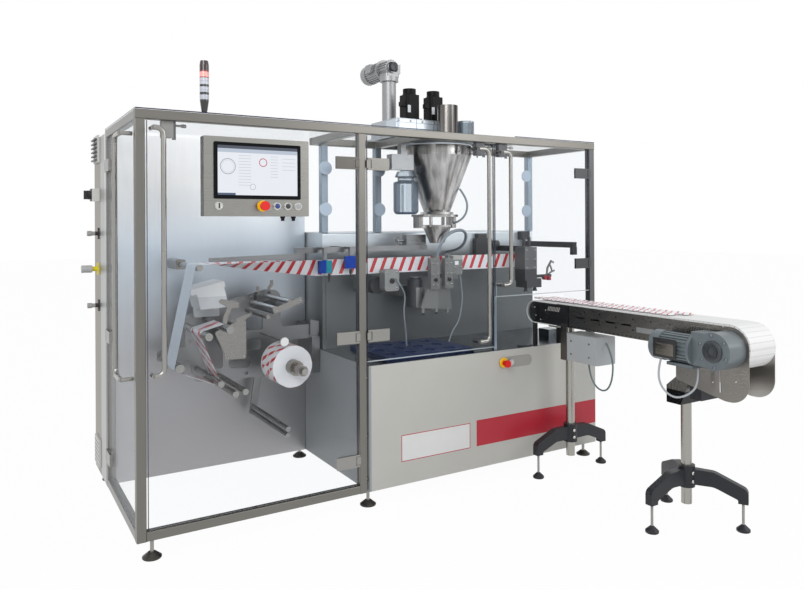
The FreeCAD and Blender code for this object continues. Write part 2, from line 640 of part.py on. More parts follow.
def unwinder():
    front, thick = "unwind_front", "unwind_thick"
    right = "mid_post + tube + base_spacer"
    outer = [
        ("350", "934", "24"), ("350", "790", "30"), ("396", "588", "36"), ("813", "573", "36"),
        ("864", "700", "20"), ("864", "760", "16"), (right, "760"), (right, "838"), ("866", "838", "20"),
        ("866", "1038", "44"), ("778", "1046", "60"), ("531", "986", "50"),
    ]
    windows = [
        rectangle("670", "831", "763", "923", "8"), rectangle("669", "723", "757", "780", "14"),
        [("574", "690", "26"), ("690", "706", "26"), ("692", "634", "20"), ("578", "640", "20")],
        [("400", "891", "14"), ("452", "868", "20"), ("504", "804", "40"), ("543", "731", "40"),
         ("543", "646", "12"), ("441", "648", "12")],
    ]
    wall = prism("y", thick, ("0", front, "0"), outer, *windows)
    wall = cut(wall, rod("10", thick, ("672", front, "606"), "y"))
    strut = box(("46", f"cabinet_front - {front}", "270"), (f"{right} - 50", front, "568"))
    toe = box(("46", "24", "200"), (f"{right} - 50", f"{front} - 24", "568"))
    cluster = plate("14", f"{front} - 14", [(f"{right} - 56", "774"), (f"{right} - 2", "790"),
                                            (f"{right} - 2", "852"), (f"{right} - 56", "866")], "6")
    edge_arm = plate(thick, front, [("212", "712", "10"), ("380", "700"), ("380", "780"), ("212", "760", "10")])
    node("unwind_plate", [fuse(wall, strut, toe, cluster, edge_arm)])

    rollers = []
    for name, (x, z, radius) in ROLLERS.items():
        start = "web_line - film_width / 2 - 20" if name in ("edge", "turn") else "roller_front"
        rollers.append(rod(radius, f"{front} - ({start})", (x, start, z), "y"))
    guide = ("747", "240", "reel_z + reel_radius + 25")
    rollers.append(fuse(rod("22", "6", guide, "y"), rod("4", f"{front} - 240", guide, "y")))
    node("film_rollers", rollers)

    case = plate(f"{front} - bracket_front - 6", "bracket_front + 6",
                 [("364", "1060"), ("384", "977"), ("527", "985"), ("500", "1087")], "5")
    lid = plate(f"{front} - bracket_front", "bracket_front",
                [("330", "1077"), ("338", "1050"), ("508", "1086"), ("499", "1116")], "4")
    seat = plate("40", f"{front} - 40", [("392", "925"), ("515", "925"), ("515", "990"), ("392", "990")])
    node("printer_housing", [fuse(case, lid, seat)])
    node("unwind_brackets", [front_bracket(), splice_tray(), idle_roller(), turn_arm()])


def front_bracket():
    """Bent front plate of the rollers, with its strip and the bell crank above."""
    sheet_steel = [
        [("450", "861", "10"), ("500", "752", "10"), ("502", "720", "10"), ("612", "716", "10"),
         ("613", "907", "10"), ("574", "911", "10")],
        [("560", "900"), ("566", "892"), ("646", "936"), ("644", "952"), ("560", "919")],
        [("472", "1011", "8"), ("516", "984", "12"), ("495", "936", "6"), ("484", "864"), ("508", "872"),
         ("518", "928", "6"), ("539", "980", "14"), ("574", "973", "8"), ("576", "1004", "10"),
         ("484", "1026", "6")],
    ]
    rods = [rod("8", "unwind_front - bracket_front - 4", (x, "bracket_front + 4", z), "y")
            for x, z in (("572", "882"), ("601", "730"), ("560", "735"))]
    return fuse(*[plate("4", "bracket_front", points) for points in sheet_steel], *rods)


def splice_tray():
    """Inclined tray between the plate and its front sheet, two knurled rods and their levers."""
    deep = "unwind_front - 250"
    sheets = [
        plate("4", "250", [("697", "954"), ("852", "1003"), ("842", "1033"), ("688", "981")], "3"),
        plate(deep, "250", [("697", "954"), ("852", "1003"), ("851", "1007"), ("696", "958")]),
    ]
    rods = [rod("11", deep, (x, "250", z), "y") for x, z in (("702", "983"), ("780", "1012"))]
    levers = []
    for x, z in ((702, 983), (780, 1012)):
        bend = [(-7, 0), (7, 0), (7, 44), (22, 60), (22, 88), (8, 88), (8, 68), (-7, 52)]
        levers.append(plate("10", "540", [(str(x + a), str(z + b)) for a, b in bend], "3"))
    return fuse(*sheets, *rods, *levers)


def idle_roller():
    return rod("11", "unwind_front - 280", ("677", "280", "938"), "y")


def turn_arm():
    """Arm from the control cabinet to the roller where the film turns."""
    reach = "cabinet_front - unwind_front"
    return plate(reach, "unwind_front", rectangle("304", "web_top - 40", "354", "web_top + 10", "8"))


def reel():
    back = "unwind_front + dancer_gap + unwind_thick"
    near = "web_line - film_width / 2"
    node("unwind_shafts", [
        fuse(rod("shaft_radius", f"unwind_front - ({near} - 155)", ("reel_x", f"{near} - 155", "reel_z"), "y"),
             rod("shaft_radius + 17", "120", ("reel_x", "unwind_front - 120", "reel_z"), "y")),
        fuse(rod("dancer_pin", "dancer_gap + dancer_thick + 8",
                 ("dancer_x", "unwind_front + unwind_thick", "dancer_z"), "y"),
             rod("dancer_pin + 10", "dancer_gap - 6", ("dancer_x", "unwind_front + unwind_thick", "dancer_z"), "y")),
    ])
    bore = "shaft_radius + pin_clearance"
    chuck = fuse(rod("chuck_radius", "film_width + 70", ("reel_x", f"{near} - 55", "reel_z"), "y"),
                 rod("chuck_radius - 12", "80", ("reel_x", f"{near} - 135", "reel_z"), "y"))
    node("reel_chuck", [cut(chuck, rod(bore, "film_width + 150", ("reel_x", f"{near} - 135", "reel_z"), "y"))])
    node("film_reel", [ring("reel_radius", "chuck_radius + 0.3", "film_width", ("reel_x", near, "reel_z"), "y")])

    arm = plate("dancer_thick", back, [
        ("dancer_x - 22", "dancer_z + 22", "21"), ("dancer_x - 66", "dancer_z - 288", "14"),
        ("dancer_x - 28", "dancer_z - 292", "14"), ("dancer_x + 22", "dancer_z + 22", "21")])
    bored = cut(arm, rod("dancer_pin + pin_clearance", "dancer_thick", ("dancer_x", back, "dancer_z"), "y"))
    rollers = [rod("12", f"{back} - roller_front", (x, "roller_front", z), "y")
               for x, z in (("dancer_x - 47", "dancer_z - 240"), ("dancer_x - 49", "dancer_z - 272"))]
    node("dancer_arm", [fuse(bored, *rollers)])


def film():
    """Printed film: up from the rollers, folded in half, then the row of pouches."""
    gauge, width = value("film_gauge"), value("film_width")
    near = value("web_line") - width / 2
    gap = 0.3 + gauge / 2
    path = [("top_mid", 1), ("top_left", 1), ("lower_left", -1), ("edge", -1), ("turn", -1)]
    route = []
    for name, side in path:
        x, z, radius = [value(text) for text in ROLLERS[name]]
        route.append((x, z, side * (radius + gap)))
    fold = (value("fold_start"), value("web_top"), 0.001)
    shaped("film_feed", band(route + [fold], gauge, "y", near, width))

    top, height, line = value("web_top"), value("web_height"), value("web_line")
    start, end = fold[0] + 0.3, value("fold_end")
    sections = []
    for share in (0, 0.35, 0.7, 1):
        x = start + (end - start) * share
        drop = (height - gauge * 2) * share ** 0.8
        half = max(math.sqrt(max((width / 2) ** 2 - drop ** 2, 0)) * (1 - share ** 3), gauge)
        low = top - drop
        corners = [(line - half, top - gauge / 2), (line, low - gauge / 2), (line + half, top - gauge / 2),
                   (line + half, top + gauge / 2), (line, low + gauge / 2), (line - half, top + gauge / 2)]
        points = [FreeCAD.Vector(x, y, z) for y, z in corners]
        sections.append(Part.makePolygon(points + points[:1]))
    fold_shape = Part.makeLoft(sections, True, True)
    near_low = FreeCAD.Vector(end, line - gauge, top - height + gauge / 2)
    web_box = Part.makeBox(value("web_end") - end, gauge * 2, height, near_low)
    shaped("film_fold", fold_shape)
    shaped("pouch_web", web_box)


# Stations

def stations():
    """Rail over the web, the units along it and the format tray below.

    Places along X are measured from the filler's middle, heights from the web's top."""
    wall = "wall_front"

    def x(shift):
        return beside("filler_x", shift)

    def z(shift):
        return beside("web_top", shift)

    rail = [box(("820", "16", "30"), ("fold_end - 105", "web_line + 26", z(36)))]
    rail += [box(("30", f"{wall} - web_line - 42", "30"), (along, "web_line + 42", z(36)))
             for along in ("mid_post + 110", "mid_post + 560")]
    for along, low in ((963, -69), (1116, -49)):
        rail += [box(("74", "20", "66"), (str(along), "web_line - 40", z(low))),
                 box(("20", "20", f"{66 - low}"), (f"{along + 26}", "web_line - 40", z(low))),
                 box(("20", "70", "12"), (f"{along + 26}", "web_line - 40", z(54)))]
    rail += [box(("132", "48", "59"), (x(-175), "web_line + 52", z(66))),
             rod("9", "60", (x(-232), "web_line + 76", z(92)), "x"),
             rod("9", "44", (x(-216), "web_line + 76", z(70)))]
    plough = plate("4", "web_line - 2", [("fold_start + 10", z(6)), ("fold_end - 60", z(6)),
                                         ("fold_end - 60", z(38)), ("fold_start + 10", z(26))])
    plough_arm = box(("30", "30", "24"), ("fold_end - 105", "web_line - 2", z(28)))
    hanger = [
        plate("56", "jar_y - 28", [("jar_x - 106", "hopper_top - 88"), ("jar_x + 34", "hopper_top - 88"),
                                   ("jar_x + 34", "hopper_top - 3"), ("jar_x - 106", "hopper_top - 3")], "4"),
        box(("32", "40", "frame_height - tube - hopper_top + 3"), ("rear_post_b + 4", "jar_y - 20", "hopper_top - 3")),
        box(("136", "30", "44"), ("jar_x - 240", "jar_y - 15", "hopper_top - 78")),
    ]
    node("web_rail", [fuse(*rail, plough, plough_arm), fuse(*hanger)])

    sign = fuse(plate("60", "web_line - 64", [(x(-385), z(-180)), (x(-294), z(-180)), (x(-294), z(-62)),
                                              (x(-385), z(-62))], "16"),
                box(("40", f"{wall} - web_line + 4", "60"), (x(-340), "web_line - 4", z(-170))))
    servo = fuse(rod("46", "90", (x(-392), "web_line - 2", z(-152)), "y"),
                 box(("84", f"{wall} - web_line - 90", "84"), (x(-434), "web_line + 86", z(-194))))
    skirt = plate("14", "web_line - 50", [(x(-96), z(-174)), (x(-145), z(-287)), (x(69), z(-308)), (x(53), z(-174))])
    jaws = [box(("60", "36", "176"), (x(-93), "web_line - 78", z(-182))),
            box(("58", "36", "173"), (x(2), "web_line - 78", z(-182)))]
    knees = [plate("30", "web_line - 75", [(x(left), z(-30)), (x(left + 14), z(-30)), (x(left + 14), z(10)),
                                           (x(left), z(10))], "4") for left in (-70, 24)]
    feet_low = [rod("9", f"{long}", (x(along), "web_line - 43", z(-326)))
                for along, long in ((-126, 40), (-36, 36), (39, 34))]
    carrier = box(("120", f"{wall} - web_line + 36", "85"), (x(-66), "web_line - 36", z(-305)))
    unit = fuse(rod("48", "160", (x(-120), "web_line + 48", z(-290))),
                rod("34", "14", (x(-120), "web_line + 48", z(-130))),
                box(("70", f"{wall} - web_line - 80", "60"), (x(-186), "web_line + 80", z(-230))))
    window = fuse(plate("60", "web_line - 70", [(x(66), z(-108)), (x(130), z(-108)), (x(130), z(4)), (x(66), z(4))], "6"),
                  box(("30", f"{wall} - web_line + 10", "26"), (x(83), "web_line - 10", z(-134))),
                  box(("30", "40", "40"), (x(83), "web_line - 50", z(-134))))
    outfeed = "conveyor_x"
    motor = fuse(plate("40", f"{wall} - 40", [(beside(outfeed, -141), z(-14)), (beside(outfeed, -16), z(-14)),
                                              (beside(outfeed, -16), z(95)), (beside(outfeed, -141), z(95))], "12"),
                 box(("66", "40", "34"), (beside(outfeed, -121), f"{wall} - 40", z(92))),
                 rod("26", "60", (beside(outfeed, -20), f"{wall} - 26", z(54)), "x"))
    lamp = box(("70", "40", "56"), (beside(outfeed, 232), f"{wall} - 40", z(80)))
    node("wall_stations", [sign, servo, fuse(skirt, *jaws, *knees, *feet_low, carrier), unit, window, motor, lamp])

    pockets = [rod("34", "14", (x(-430 + 124 * i), f"{140 + 126 * j}", "table_height + 10"))
               for i in range(4) for j in range(3)]
    node("format_tray", [
        cut(box(("544", "410", "20"), (x(-496), "66", "table_height")), *pockets),
    ])


def transfer():
    """Head that lifts each pouch off the web's end and lays it on the belt."""
    wall = "wall_front"

    def x(shift):
        return beside("conveyor_x", shift)

    def z(shift):
        return beside("plate_top", shift)

    cups = [cone("15", "9", "24", (x(along), "235", z(34))) for along in (20, 90)]
    node("transfer_arm", [
        fuse(box(("94", "93", "204"), (x(-17), "200", z(100))), box(("117", "100", "54"), (x(-5), "198", z(58))),
             box(("30", f"{wall} - 290", "35"), (x(47), "290", z(272))),
             rod("10", "74", (x(10), "240", z(290))), rod("10", "74", (x(50), "240", z(290))), *cups),
        fuse(box(("30", f"{wall} - 95", "35"), (x(275), "95", z(297))),
             box(("36", "24", "46"), (x(272), "95", z(254)))),
    ])


# Filler

def filler():
    floor, base = "frame_height + top_sheet", "frame_height + top_sheet + 12"
    deck = box(("deck_right - deck_left", "deck_back - deck_front", "12"), ("deck_left", "deck_front", floor))
    case = prism("z", f"gearcase_top - ({base})", ("0", "0", base),
                 rectangle("gearcase_left", "gearcase_front", "gearcase_right", "gearcase_back", "14"))
    stack = ring("chimney_radius", "chimney_radius - 3", f"chimney_top - ({base})", ("chimney_x", "chimney_y", base))
    node("filler_deck", [fuse(deck, case, stack)])

    drives = []
    for middle in ("filler_x - 122", "chimney_x"):
        left, right = f"{middle} - servo / 2", f"{middle} + servo / 2"
        drives.append(fuse(
            box(("servo + 16", "servo + 16", "10"), (f"{left} - 8", "gearcase_front + 30", "gearcase_top")),
            prism("z", "138", ("0", "0", "gearcase_top + 10"),
                  rectangle(left, "gearcase_front + 38", right, "gearcase_front + 38 + servo", "14")),
            cone("servo / 2 - 2", "38", "10", (middle, "gearcase_front + 38 + servo / 2", "gearcase_top + 148")),
            rod("38", "26", (middle, "gearcase_front + 38 + servo / 2", "gearcase_top + 158")),
            box(("34", "30", "26"), (f"{left} - 30", "gearcase_front + 50", "gearcase_top + 78"))))
    node("filler_drives", drives)
    lift()
    powder()


def lift():
    """Column with a finned gear unit whose hub faces forward and a motor behind it."""
    x, y, flange = "column_x", "column_y", "gearcase_top + 250"
    axis = f"{flange} + 82"
    node("lift_column", [
        fuse(box(("104", "104", "10"), (f"{x} - 52", f"{y} - 44", "gearcase_top")),
             rod("column_radius", "250", (x, y, "gearcase_top")),
             rod("56", "28", (x, y, flange)),
             prism("z", "20", ("0", "0", f"{flange} + 28"),
                   rectangle(f"{x} - 44", f"{y} - 40", f"{x} + 52", f"{y} + 50", "16")),
             finned("47", 5, 18, "88", (x, f"{y} - 38", axis), "y"),
             rod("34", "14", (x, f"{y} - 52", axis), "y"),
             box(("30", "60", "56"), (f"{x} + 38", f"{y} - 20", f"{axis} - 30")),
             rod("lift_motor + 4", "14", (x, f"{y} + 50", axis), "y"),
             finned("lift_motor", 5, 24, "140", (x, f"{y} + 64", axis), "y"),
             rod("lift_motor + 3", "52", (x, f"{y} + 204", axis), "y"),
             box(("34", "64", "50"), (f"{x} - lift_motor - 22", f"{y} + 90", f"{axis} - 14"))),
    ])


def powder():
    """Hopper with its auger tubes, the funnel below, the lid, the refill tube and the dust jar."""
    x, y = "filler_x", "web_line"
    floor = "frame_height + top_sheet"
    outer = [
        ("throat_radius - hopper_wall", "hopper_low - 14"), ("throat_radius + 20", "hopper_low - 14"),
        ("throat_radius + 20", "hopper_low"), ("throat_radius", "hopper_low"), ("hopper_radius", "hopper_top"),
        ("hopper_radius", "hopper_top + rim_height"), ("hopper_radius - hopper_wall", "hopper_top + rim_height"),
        ("hopper_radius - hopper_wall", "hopper_top"), ("throat_radius - hopper_wall", "hopper_low"),
    ]
    bridge = plate("100", f"{y} - 50", rectangle(f"{x} - 143", "hopper_low - 28", f"{x} + 114", "hopper_low - 14", "4"))
    tubes = [rod("auger", "52", (f"{x} + {shift}", y, "hopper_low - 80")) for shift in ("0 - 42", "42")]
    toggle = [box(("70", "16", "12"), (f"{x} + 140", f"{y} - 137", "hopper_top + 24")),
              box(("14", "16", "58"), (f"{x} + 196", f"{y} - 137", "hopper_top - 4"))]
    node("hopper", [fuse(turned(outer, (x, y, "0")), bridge, *tubes, *toggle)])

    top, low = "web_top + 181", "web_top + 76"
    cup = turned([("42", low), ("82", f"{top} - 12"), ("82", top), ("79", top), ("79", f"{top} - 12"), ("39", low)],
                 (x, y, "0"))
    posts = [box(("29", "60", f"hopper_low - 28 - ({top} - 18)"), (left, f"{y} - 30", f"{top} - 18"))
             for left in (f"{x} - 143", f"{x} + 85")]
    lugs = [box(("70", "20", "10"), (left, f"{y} - 10", f"{top} - 18")) for left in (f"{x} - 143", f"{x} + 40")]
    bored = cut(fuse(*posts, *lugs), rod("79", "40", (x, y, f"{top} - 20")))
    node("funnel", [fuse(cup, bored)])
    node("hopper_lid", [
        rod("hopper_radius + 6", f"{floor} - hopper_top - rim_height", (x, y, "hopper_top + rim_height")),
    ])
    jar = turned([("0", "hopper_top - 333"), ("jar_radius", "hopper_top - 333", "24"),
                  ("jar_radius", "hopper_top - 155", "10"), ("46", "hopper_top - 148"), ("46", "hopper_top - 128"),
                  ("62", "hopper_top - 128"), ("50", "hopper_top - 96"), ("30", "hopper_top - 96"),
                  ("30", "hopper_top - 88"), ("0", "hopper_top - 88")], ("jar_x", "jar_y", "0"))
    node("filler_tubes", [ring("50", "46", "100", (f"{x} + 187", "312", f"{floor} + 12")), jar])


# Conveyor

def side_outline():
    top, low = "plate_top", "plate_low"
    return [
        ("inner_end", low, "59"), ("inner_end", top, "59"), ("0 - outer_end", top, "88"),
        ("0 - outer_end", "lobe_low", "88"), ("0 - drum_y + 20", "lobe_low", "60"),
        ("0 - lobe_start", "lobe_low + 50", "10"), ("0 - lobe_start", low, "10"),
    ]


def conveyor():
    left = "conveyor_x - conveyor_width / 2"
    right = "conveyor_x + conveyor_width / 2 - side_plate"
    reach, drum = value("plate_top - plate_low") / 2, value("drum_radius")
    inner_y, inner_z = value("inner_end") - reach, value("plate_low") + reach
    half = value("belt_gauge") / 2
    slots = [rectangle(f"0 - {y} - {long}", "plate_low + 58", f"0 - {y}", "plate_low + 66", "3.9")
             for y, long in ((296, 62), (401, 64), (505, 62), (608, 64), (809, 42))]
    inside = "conveyor_width - 2 * side_plate"
    inner_radius = "(plate_top - plate_low) / 2 - belt_gauge - 0.5"
    node("conveyor_frame", [fuse(
        *[prism("x", "side_plate", (face, "0", "0"), side_outline(), *slots) for face in (left, right)],
        rod("drum_radius - 0.5", inside, (f"{left} + side_plate", "0 - drum_y", "drum_z"), "x"),
        rod(inner_radius, inside, (f"{left} + side_plate", "inner_end - (plate_top - plate_low) / 2",
                                   "(plate_top + plate_low) / 2 + 5"), "x"),
        *[box(("side_plate", "40", "plate_low + 30 - table_height"), (face, "8", "table_height"))
          for face in (left, right)],
        box(("5", "44", "197"), (f"{left} - 5", "0 - 229", "plate_low - 180")),
    )])
    rollers = [
        (inner_y, inner_z + 5, reach - half), (-value("lobe_start") + 40, value("plate_low") - 22, -30),
        (-value("drum_y"), value("drum_z"), drum + half),
    ]
    rollers = [(y, z, -r) for y, z, r in rollers]
    width = value("conveyor_width - 2 * side_plate - 2")
    start = value("conveyor_x") - width / 2
    shaped("conveyor_belt", band(rollers, value("belt_gauge"), "x", start, width, True))
    gear_y, gear_z = "0 - drum_y", "drum_z - 8"
    shaft = (f"{left} - drive_motor - 8", "drum_z - 20")
    node("conveyor_drive", [
        fuse(rod("80", "110", (f"{left} - 110", gear_y, gear_z), "x"),
             box(("92", "104", "144"), (f"{left} - 110", gear_y, f"{gear_z} - 72")),
             ring("30", "17", "14", (f"{left} - 124", gear_y, gear_z), "x"),
             rod("drive_motor + 5", "14", (shaft[0], f"{gear_y} + 98", shaft[1]), "y"),
             finned("drive_motor", 5, 24, "156", (shaft[0], f"{gear_y} + 108", shaft[1]), "y"),
             rod("drive_motor + 3", "48", (shaft[0], f"{gear_y} + 260", shaft[1]), "y"),
             box(("40", "84", "60"), (f"{left} - 150", f"{gear_y} + 168", "drum_z - 50")),
             box(("112", "132", "14"), (f"{left} - 112", f"{gear_y} + 98", "drum_z - 98"))),
    ])


def stand(x, y, angles, top, head):
    """Round mast with its head, and a moulded base with curved legs and levelling feet."""
    mast = fuse(rod("mast_radius", f"{top} - mast_low", (x, y, "mast_low")), head)
    legs = [ring("38", "mast_radius + 0.3", "100", (x, y, "166"))]
    feet_parts = []
    for angle in angles:
        leg = prism("y", "36", ("0", "0", "0"),
                    [("30", "180"), ("stand_reach / 2", "182", "70"), ("stand_reach - 20", "142", "8"),
                     ("stand_reach - 20", "126"), ("stand_reach + 22", "126"), ("stand_reach + 22", "190", "30"),
                     ("stand_reach / 2", "250", "70"), ("30", "252")])
        leg.Placement = FreeCAD.Placement(FreeCAD.Vector(), FreeCAD.Rotation(FreeCAD.Vector(0, 0, 1), angle))
        rad = math.radians(angle)
        leg.setExpression("Placement.Base.x", link(f"{x} + {math.sin(rad) * 18}"))
        leg.setExpression("Placement.Base.y", link(f"{y} - {math.cos(rad) * 18}"))
        legs.append(leg)
        spot = (f"{x} + stand_reach * {math.cos(rad)}", f"{y} + stand_reach * {math.sin(rad)}", "0")
        feet_parts.append(turned([("0", "0"), ("28", "0"), ("30", "2"), ("30", "10"), ("26", "14"), ("9", "30"), ("6", "30"),
                                  ("6", "130"), ("0", "130")], spot))
    return mast, fuse(*legs, *feet_parts)


def stands():
    left, inside = "conveyor_x - conveyor_width / 2", "conveyor_width - 2 * side_plate"
    head = box(("conveyor_width", "70", "12"), (left, "0 - stand_one - 35", "plate_low - 12"))
    first = stand("stand_one_x", "0 - stand_one", (180, 0), "plate_low - 12", head)
    clamp = prism("x", inside, (f"{left} + side_plate", "0", "0"),
                  [("0 - stand_two + 38", "lobe_low - 66"), ("0 - stand_two + 38", "lobe_low + 14"),
                   ("0 - lobe_start - 15", "lobe_low + 76"), ("0 - lobe_start - 70", "lobe_low + 76"),
                   ("0 - lobe_start - 70", "lobe_low + 50"), ("0 - stand_two - 38", "lobe_low - 66")])
    second = stand("conveyor_x", "0 - stand_two", (180, 60, -60), "lobe_low", clamp)
    node("stand_masts", [first[0], second[0]])
    slope = "50 / (drum_y - 20 - lobe_start)"
    lobe_foot = prism("x", "conveyor_width", (left, "0", "0"), [
        ("0 - lobe_start - 133", "lobe_low - 25"), ("0 - lobe_start - 74", "lobe_low - 25"),
        ("0 - lobe_start - 74", f"lobe_low + (drum_y - 20 - lobe_start - 74) * {slope}"),
        ("0 - lobe_start - 133", f"lobe_low + (drum_y - 20 - lobe_start - 133) * {slope}")])
    node("stand_bases", [first[1], second[1], lobe_foot])
    node("control_box", [
        plate("236", "0 - 441", rectangle(left, "plate_low - 178", f"{left} + 140", "plate_low - 32", "5")),
    ])


def cords():
    """Cables and hoses that hang free between the pieces they leave and the ones they enter."""
    side = ("conveyor_x - conveyor_width / 2", "0", "plate_low")
    shaped("motor_cable", Part.makeCompound([
        cord(4.5, side, [(70, -445, -63), (70, -492, -130), (70, -486, -250), (70, -444, -318),
                         (70, -374, -312), (70, -324, -240), (70, -321, -178.5)]),
        cord(4.5, side, [(-134, -962, -20.5), (-134, -936, -95), (-130, -950, -170), (-112, -1005, -212),
                         (-82, -1060, -190), (-52, -1088, -140), (-52, -1085, -66.9)]),
    ]))
    spot = ("filler_x", "web_line", "web_top")
    shaped("air_hoses", Part.makeCompound([
        cord(6, spot, [(98, -90, 387), (140, -100, 335), (146, -100, 260), (116, -78, 205), (101, -33.2, 192)]),
        cord(9, spot, [(-43, -62, -2.8), (-36, -85, 80), (34, -85, 140), (124, -78, 156), (199, -20, 120),
                       (219, 40, 60), (219, 130, 25), (219, 218.7, 15)]),
        cord(4, spot, [(-316, -68.3, -110), (-296, -84, -150), (-248, -55, -210), (-264, -60, -280),
                       (-256, -55, -350), (-236, -40, -420), (-234, -40, -492.6)]),
        cord(4, spot, [(122, -58, -108.8), (126, -60, -170), (138, -60, -235), (128, -58, -310), (112, -58, -380),
                       (62, -58, -432), (40, -58, -491.5)]),
    ]))


def build():
    guard()
    feet()
    cabinets()
    cabinet_fittings()
    doors()
    operator_panel()
    signals()
    unwinder()
    reel()
    film()
    stations()
    transfer()
    filler()
    conveyor()
    stands()
    cords()
    doc.recompute()


def check():
    """Stop with a plain message where a feature failed or a shape isn't sound."""
    for item in doc.Objects:
        if "Invalid" in item.State or "Error" in item.State:
            raise RuntimeError(f"{item.Label} did not build: {item.State}")
    for item in NODES:
        if item.Shape.isNull() or not item.Shape.isValid() or not item.Shape.Solids:
            raise RuntimeError(f"{item.Label} has no sound shape")
    if len({item.Label for item in NODES}) != len(NODES):
        raise RuntimeError("two sub-parts share a name")


def write():
    os.makedirs("parts", exist_ok=True)
    for item in NODES:
        item.Shape.exportStep(f"parts/{item.Label}.step")
    print(len(NODES), "sub-parts")


build()
check()
write()
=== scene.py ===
"""Looks of the pouch packing machine: cords, surfaces, printed film, fittings and light."""

import math

import bmesh
import bpy
import numpy as np
from mathutils import Matrix, Vector


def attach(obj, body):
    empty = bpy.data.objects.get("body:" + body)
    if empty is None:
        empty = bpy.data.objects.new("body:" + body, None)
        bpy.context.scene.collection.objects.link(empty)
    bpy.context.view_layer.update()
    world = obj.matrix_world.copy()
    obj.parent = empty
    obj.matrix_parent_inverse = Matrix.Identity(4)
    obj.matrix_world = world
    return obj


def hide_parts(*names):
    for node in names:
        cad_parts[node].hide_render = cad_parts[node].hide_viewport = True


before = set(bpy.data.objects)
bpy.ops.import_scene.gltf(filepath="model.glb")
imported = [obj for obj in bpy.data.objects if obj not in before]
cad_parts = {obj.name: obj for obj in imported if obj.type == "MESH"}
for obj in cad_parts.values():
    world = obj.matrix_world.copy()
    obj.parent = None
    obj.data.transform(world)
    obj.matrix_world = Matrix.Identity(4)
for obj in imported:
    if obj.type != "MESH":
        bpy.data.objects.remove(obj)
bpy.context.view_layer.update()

# Camera, as found from the photo's straight edges

CAMERA_AT = (-0.6297, -3.098, 1.393)
CAMERA_TURN = -30.98
CAMERA_ROLL = -0.27
LENS = 31.80
HORIZON_SHIFT = -0.0869

camera_data = bpy.data.cameras.new("camera")
camera_data.lens = LENS
camera_data.sensor_width = 36
camera_data.shift_y = HORIZON_SHIFT
camera = bpy.data.objects.new("camera", camera_data)
bpy.context.scene.collection.objects.link(camera)
camera.location = CAMERA_AT
look = Matrix.Rotation(math.radians(CAMERA_TURN), 4, "Z") @ Matrix.Rotation(math.radians(90), 4, "X")
camera.rotation_euler = (look @ Matrix.Rotation(math.radians(CAMERA_ROLL), 4, "Z")).to_euler()
bpy.context.scene.camera = camera

# Main places of the machine, in metres from the origin at the front left foot

CORNER = Vector((-0.064, -0.020, 0.0))
TUBE = 0.040


def at(x, y, z):
    """Point given in millimetres from the guard's outer front left corner."""
    return Vector((x / 1000, y / 1000, z / 1000)) + CORNER


# Cables and hoses that hang free, in millimetres from the piece they leave

SIDE_PLATE = (2192, 0, 830)
FILLER = (1726, 340, 1210)

CORDS = {
    "control_box_cable": ("motor_cable", SIDE_PLATE, 4.5, 0.4851, [
        (70, -445, -63), (70, -492, -130), (70, -486, -250), (70, -444, -318), (70, -374, -312),
        (70, -324, -240), (70, -321, -178.5)]),
    "gearmotor_cable": ("motor_cable", SIDE_PLATE, 4.5, 0.4173, [
        (-134, -962, -20.5), (-134, -936, -95), (-130, -950, -170), (-112, -1005, -212),
        (-82, -1060, -190), (-52, -1088, -140), (-52, -1085, -66.9)]),
    "hopper_hose": ("air_hoses", FILLER, 6, 0.2514, [
        (98, -90, 387), (140, -100, 335), (146, -100, 260), (116, -78, 205), (101, -33.2, 192)]),
    "dust_hose": ("air_hoses", FILLER, 9, 0.6294, [
        (-43, -62, -2.8), (-36, -85, 80), (34, -85, 140), (124, -78, 156), (199, -20, 120),
        (219, 40, 60), (219, 130, 25), (219, 218.7, 15)]),
    "sealer_hose": ("air_hoses", FILLER, 4, 0.4104, [
        (-316, -68.3, -110), (-296, -84, -150), (-248, -55, -210), (-264, -60, -280),
        (-256, -55, -350), (-236, -40, -420), (-234, -40, -492.6)]),
    "gripper_hose": ("air_hoses", FILLER, 4, 0.4075, [
        (122, -58, -108.8), (126, -60, -170), (138, -60, -235), (128, -58, -310), (112, -58, -380),
        (62, -58, -432), (40, -58, -491.5)]),
}


def hang(name, node, start, radius, length, route):
    """Cord along a smooth spline whose control points are the route's points."""
    data = bpy.data.curves.new(name, "CURVE")
    data.dimensions = "3D"
    data.resolution_u = 10
    data.bevel_depth = 1.0
    data.bevel_resolution = 4
    data.use_fill_caps = True
    spline = data.splines.new("NURBS")
    spline.points.add(len(route) - 1)
    places = [at(*(a + b for a, b in zip(start, step))) for step in route]
    for point, place in zip(spline.points, places):
        point.co = (*place, 1)
        point.radius = radius / 1000
    spline.order_u = 3
    spline.use_endpoint_u = True
    item = bpy.data.objects.new(name, data)
    bpy.context.scene.collection.objects.link(item)
    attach(item, "machine")
    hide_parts(node)
    return item


hung = {name: hang(name, *facts) for name, facts in CORDS.items()}

# Node helpers

